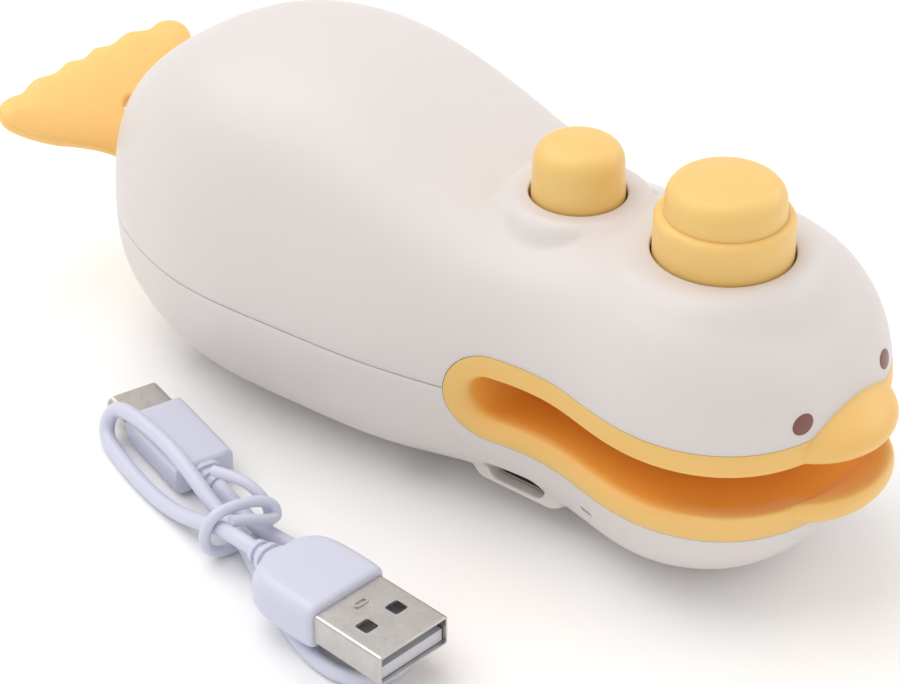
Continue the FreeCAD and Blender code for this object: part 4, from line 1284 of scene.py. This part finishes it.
def sleeve(name, size, place, edge, corners, wall, room_corner, floor):
    """Sheet metal sleeve, open at its tip."""
    length, wide, high = size
    outer = [(0.0, wide / 2 - edge, high / 2 - edge, corners[0]),
             (-edge, wide / 2, high / 2, corners[1]), (-length, wide / 2, high / 2, corners[1])]
    shell = loft(name, outer, place, 35)
    room = [(x, wide / 2 - wall, high / 2 - wall, room_corner) for x in (0.5, floor - length)]
    combine(shell, loft("room", room, place), "DIFFERENCE", 35)
    return shell


def make_a_shell():
    """Sheet metal sleeve with two latch windows and a pressed lug."""
    high = A_SHELL[2]
    shell = sleeve("usb_a_sleeve", A_SHELL, A_PLACE, 0.12, (0.4, 0.5), 0.35, 0.2, 0.4)
    for y in (-2.6, 2.6):
        hole = window_prism((-5.8, y), (1.1, 1.1), 0.35, (-4, 4))
        combine(shell, hole, "DIFFERENCE", 35)
    combine(shell, window_prism((-9.6, 0.0), (0.55, 1.15), 0.5, (high / 2 - 0.3, high / 2 + 0.22)),
            "UNION", 35)
    combine(shell, window_prism((-9.6, 0.0), (0.32, 0.85), 0.3, (high / 2 - 0.05, high / 2 + 1)),
            "DIFFERENCE", 35)
    return finish_piece(shell, STEEL, "charging_lead", "usb_steel", "usb_a_shell")


def window_prism(centre, half, corner, heights):
    """Upright prism with rounded corners on the USB-A plug."""
    outline = oblong(half[0], half[1], corner, 48)
    points = [(centre[0] + a, centre[1] + b, z) for z in heights for a, b in outline]
    count = len(outline)
    caps = [tuple(range(count)), tuple(range(count, 2 * count))]
    return build("prism", place_on_table(points, *A_PLACE),
                 grid_faces(2, count, wrap=True) + caps)


def make_c_body():
    front = -C_SHELL[0]
    stations = eased([(front + 0.02, 4.0, 1.9, 0.8), (front - 0.2, 4.4, 2.2, 0.9),
                      (front - 1.0, 4.6, 2.35, 1.1), (front - 8.0, 4.6, 2.35, 1.1),
                      (front - 14.3, 4.55, 2.35, 1.1), (front - 15.2, 4.25, 2.2, 1.1),
                      (front - 15.5, 3.4, 1.9, 1.0)], 5)
    stations += relief_stations(front - C_BODY, C_RELIEF, 2.4, 2.0, 1.4, 2)
    body = loft("usb_c_overmould", stations, C_PLACE, 45)
    return finish_piece(body, LEAD, "charging_lead", "lead_white", "usb_c_body")


def make_c_shell():
    end = C_SHELL[2] / 2 - 0.02
    shell = sleeve("usb_c_sleeve", C_SHELL, C_PLACE, 0.15, (end, end), 0.3, end - 0.3, 0.6)
    return finish_piece(shell, STEEL, "charging_lead", "usb_steel", "usb_c_shell")


def nurbs(name, points, radius, cyclic=False):
    """Round wire along a smooth spline with these control points, in millimetres."""
    data = bpy.data.curves.new(name, "CURVE")
    data.dimensions = "3D"
    spline = data.splines.new("NURBS")
    spline.points.add(len(points) - 1)
    for target, (x, y, z) in zip(spline.points, points):
        target.co = (x * MM, y * MM, z * MM, 1)
    spline.order_u = 3
    spline.use_endpoint_u = True
    spline.resolution_u = 10
    data.bevel_depth = radius * MM
    data.bevel_resolution = 8
    data.use_fill_caps = True
    curve = bpy.data.objects.new(name, data)
    SCENE.collection.objects.link(curve)
    return curve


def make_tie():
    """Coated wire wound once and a half round the strands, its ends twisted outward."""
    route = [(-7.0, -41.0, 7.6), (-4.4, -40.4, 7.7), (-1.2, -39.9, 7.4), (1.6, -39.6, 5.6),
             (2.2, -39.7, 2.6), (1.8, -41.6, 0.9), (0.8, -44.6, 0.85), (-0.1, -47.6, 0.9),
             (-0.7, -49.4, 2.4), (-0.6, -49.7, 5.2), (0.0, -48.2, 7.7), (0.9, -45.2, 7.9),
             (1.9, -42.2, 7.5), (3.2, -40.2, 6.6), (4.0, -40.2, 4.8), (4.2, -42.0, 5.2),
             (3.4, -44.8, 6.6), (2.2, -47.4, 7.2)]
    tie = nurbs("twist_tie", route, 0.8)
    return finish_piece(tie, LEAD, "charging_lead", "lead_white", "lead_tie")


def make_cord():
    cord = nurbs("charging_cord", CORD_ROUTE, CORD_R)
    finish_piece(cord, LEAD, "charging_lead", "lead_white", "lead_cord")


# --- CAD pieces that stay -------------------------------------------------------------------

KEPT = {
    "anvil_pad": SILICONE, "casing_screws": SCREW, "port_shell": STEEL,
    "control_board": BOARD, "battery_cell": WRAP, "battery_cradle": INNER, "battery_wires": WIRE,
    "guide_frame": INNER, "seal_switch": HOLDER,
    "plunger_stem": INNER, "heater_holder": HOLDER, "heating_strip": STRIP, "heater_film": FILM,
    "blade_carrier": HOLDER, "cutter_blade": BLADE, "usb_a_insert": INSERT,
}


def paint_kept():
    for node, material in KEPT.items():
        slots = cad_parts[node].data.materials
        slots.clear()
        slots.append(material)


make_camera()
plugs = [make_a_body(), make_a_shell(), make_c_body(), make_c_shell(), make_tie(),
         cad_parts["usb_a_insert"]]
make_cord()
make_studio()
make_upper_shell()
make_lower_shell()
make_liner()
make_eye(-1, "right_eye", "eye_right")
make_eye(1, "left_eye", "eye_left")
make_light_lens()
make_port_core()
make_seal_button()
make_cutter_button()
make_spring("seal_coil", "seal_spring", "seal_press_travel", SEAL_X, *SEAL_SPRING)
make_spring("cutter_coil", "cutter_spring", "cutter_travel", CUT_X, *CUT_SPRING)
make_feet()
make_tail()
paint_kept()
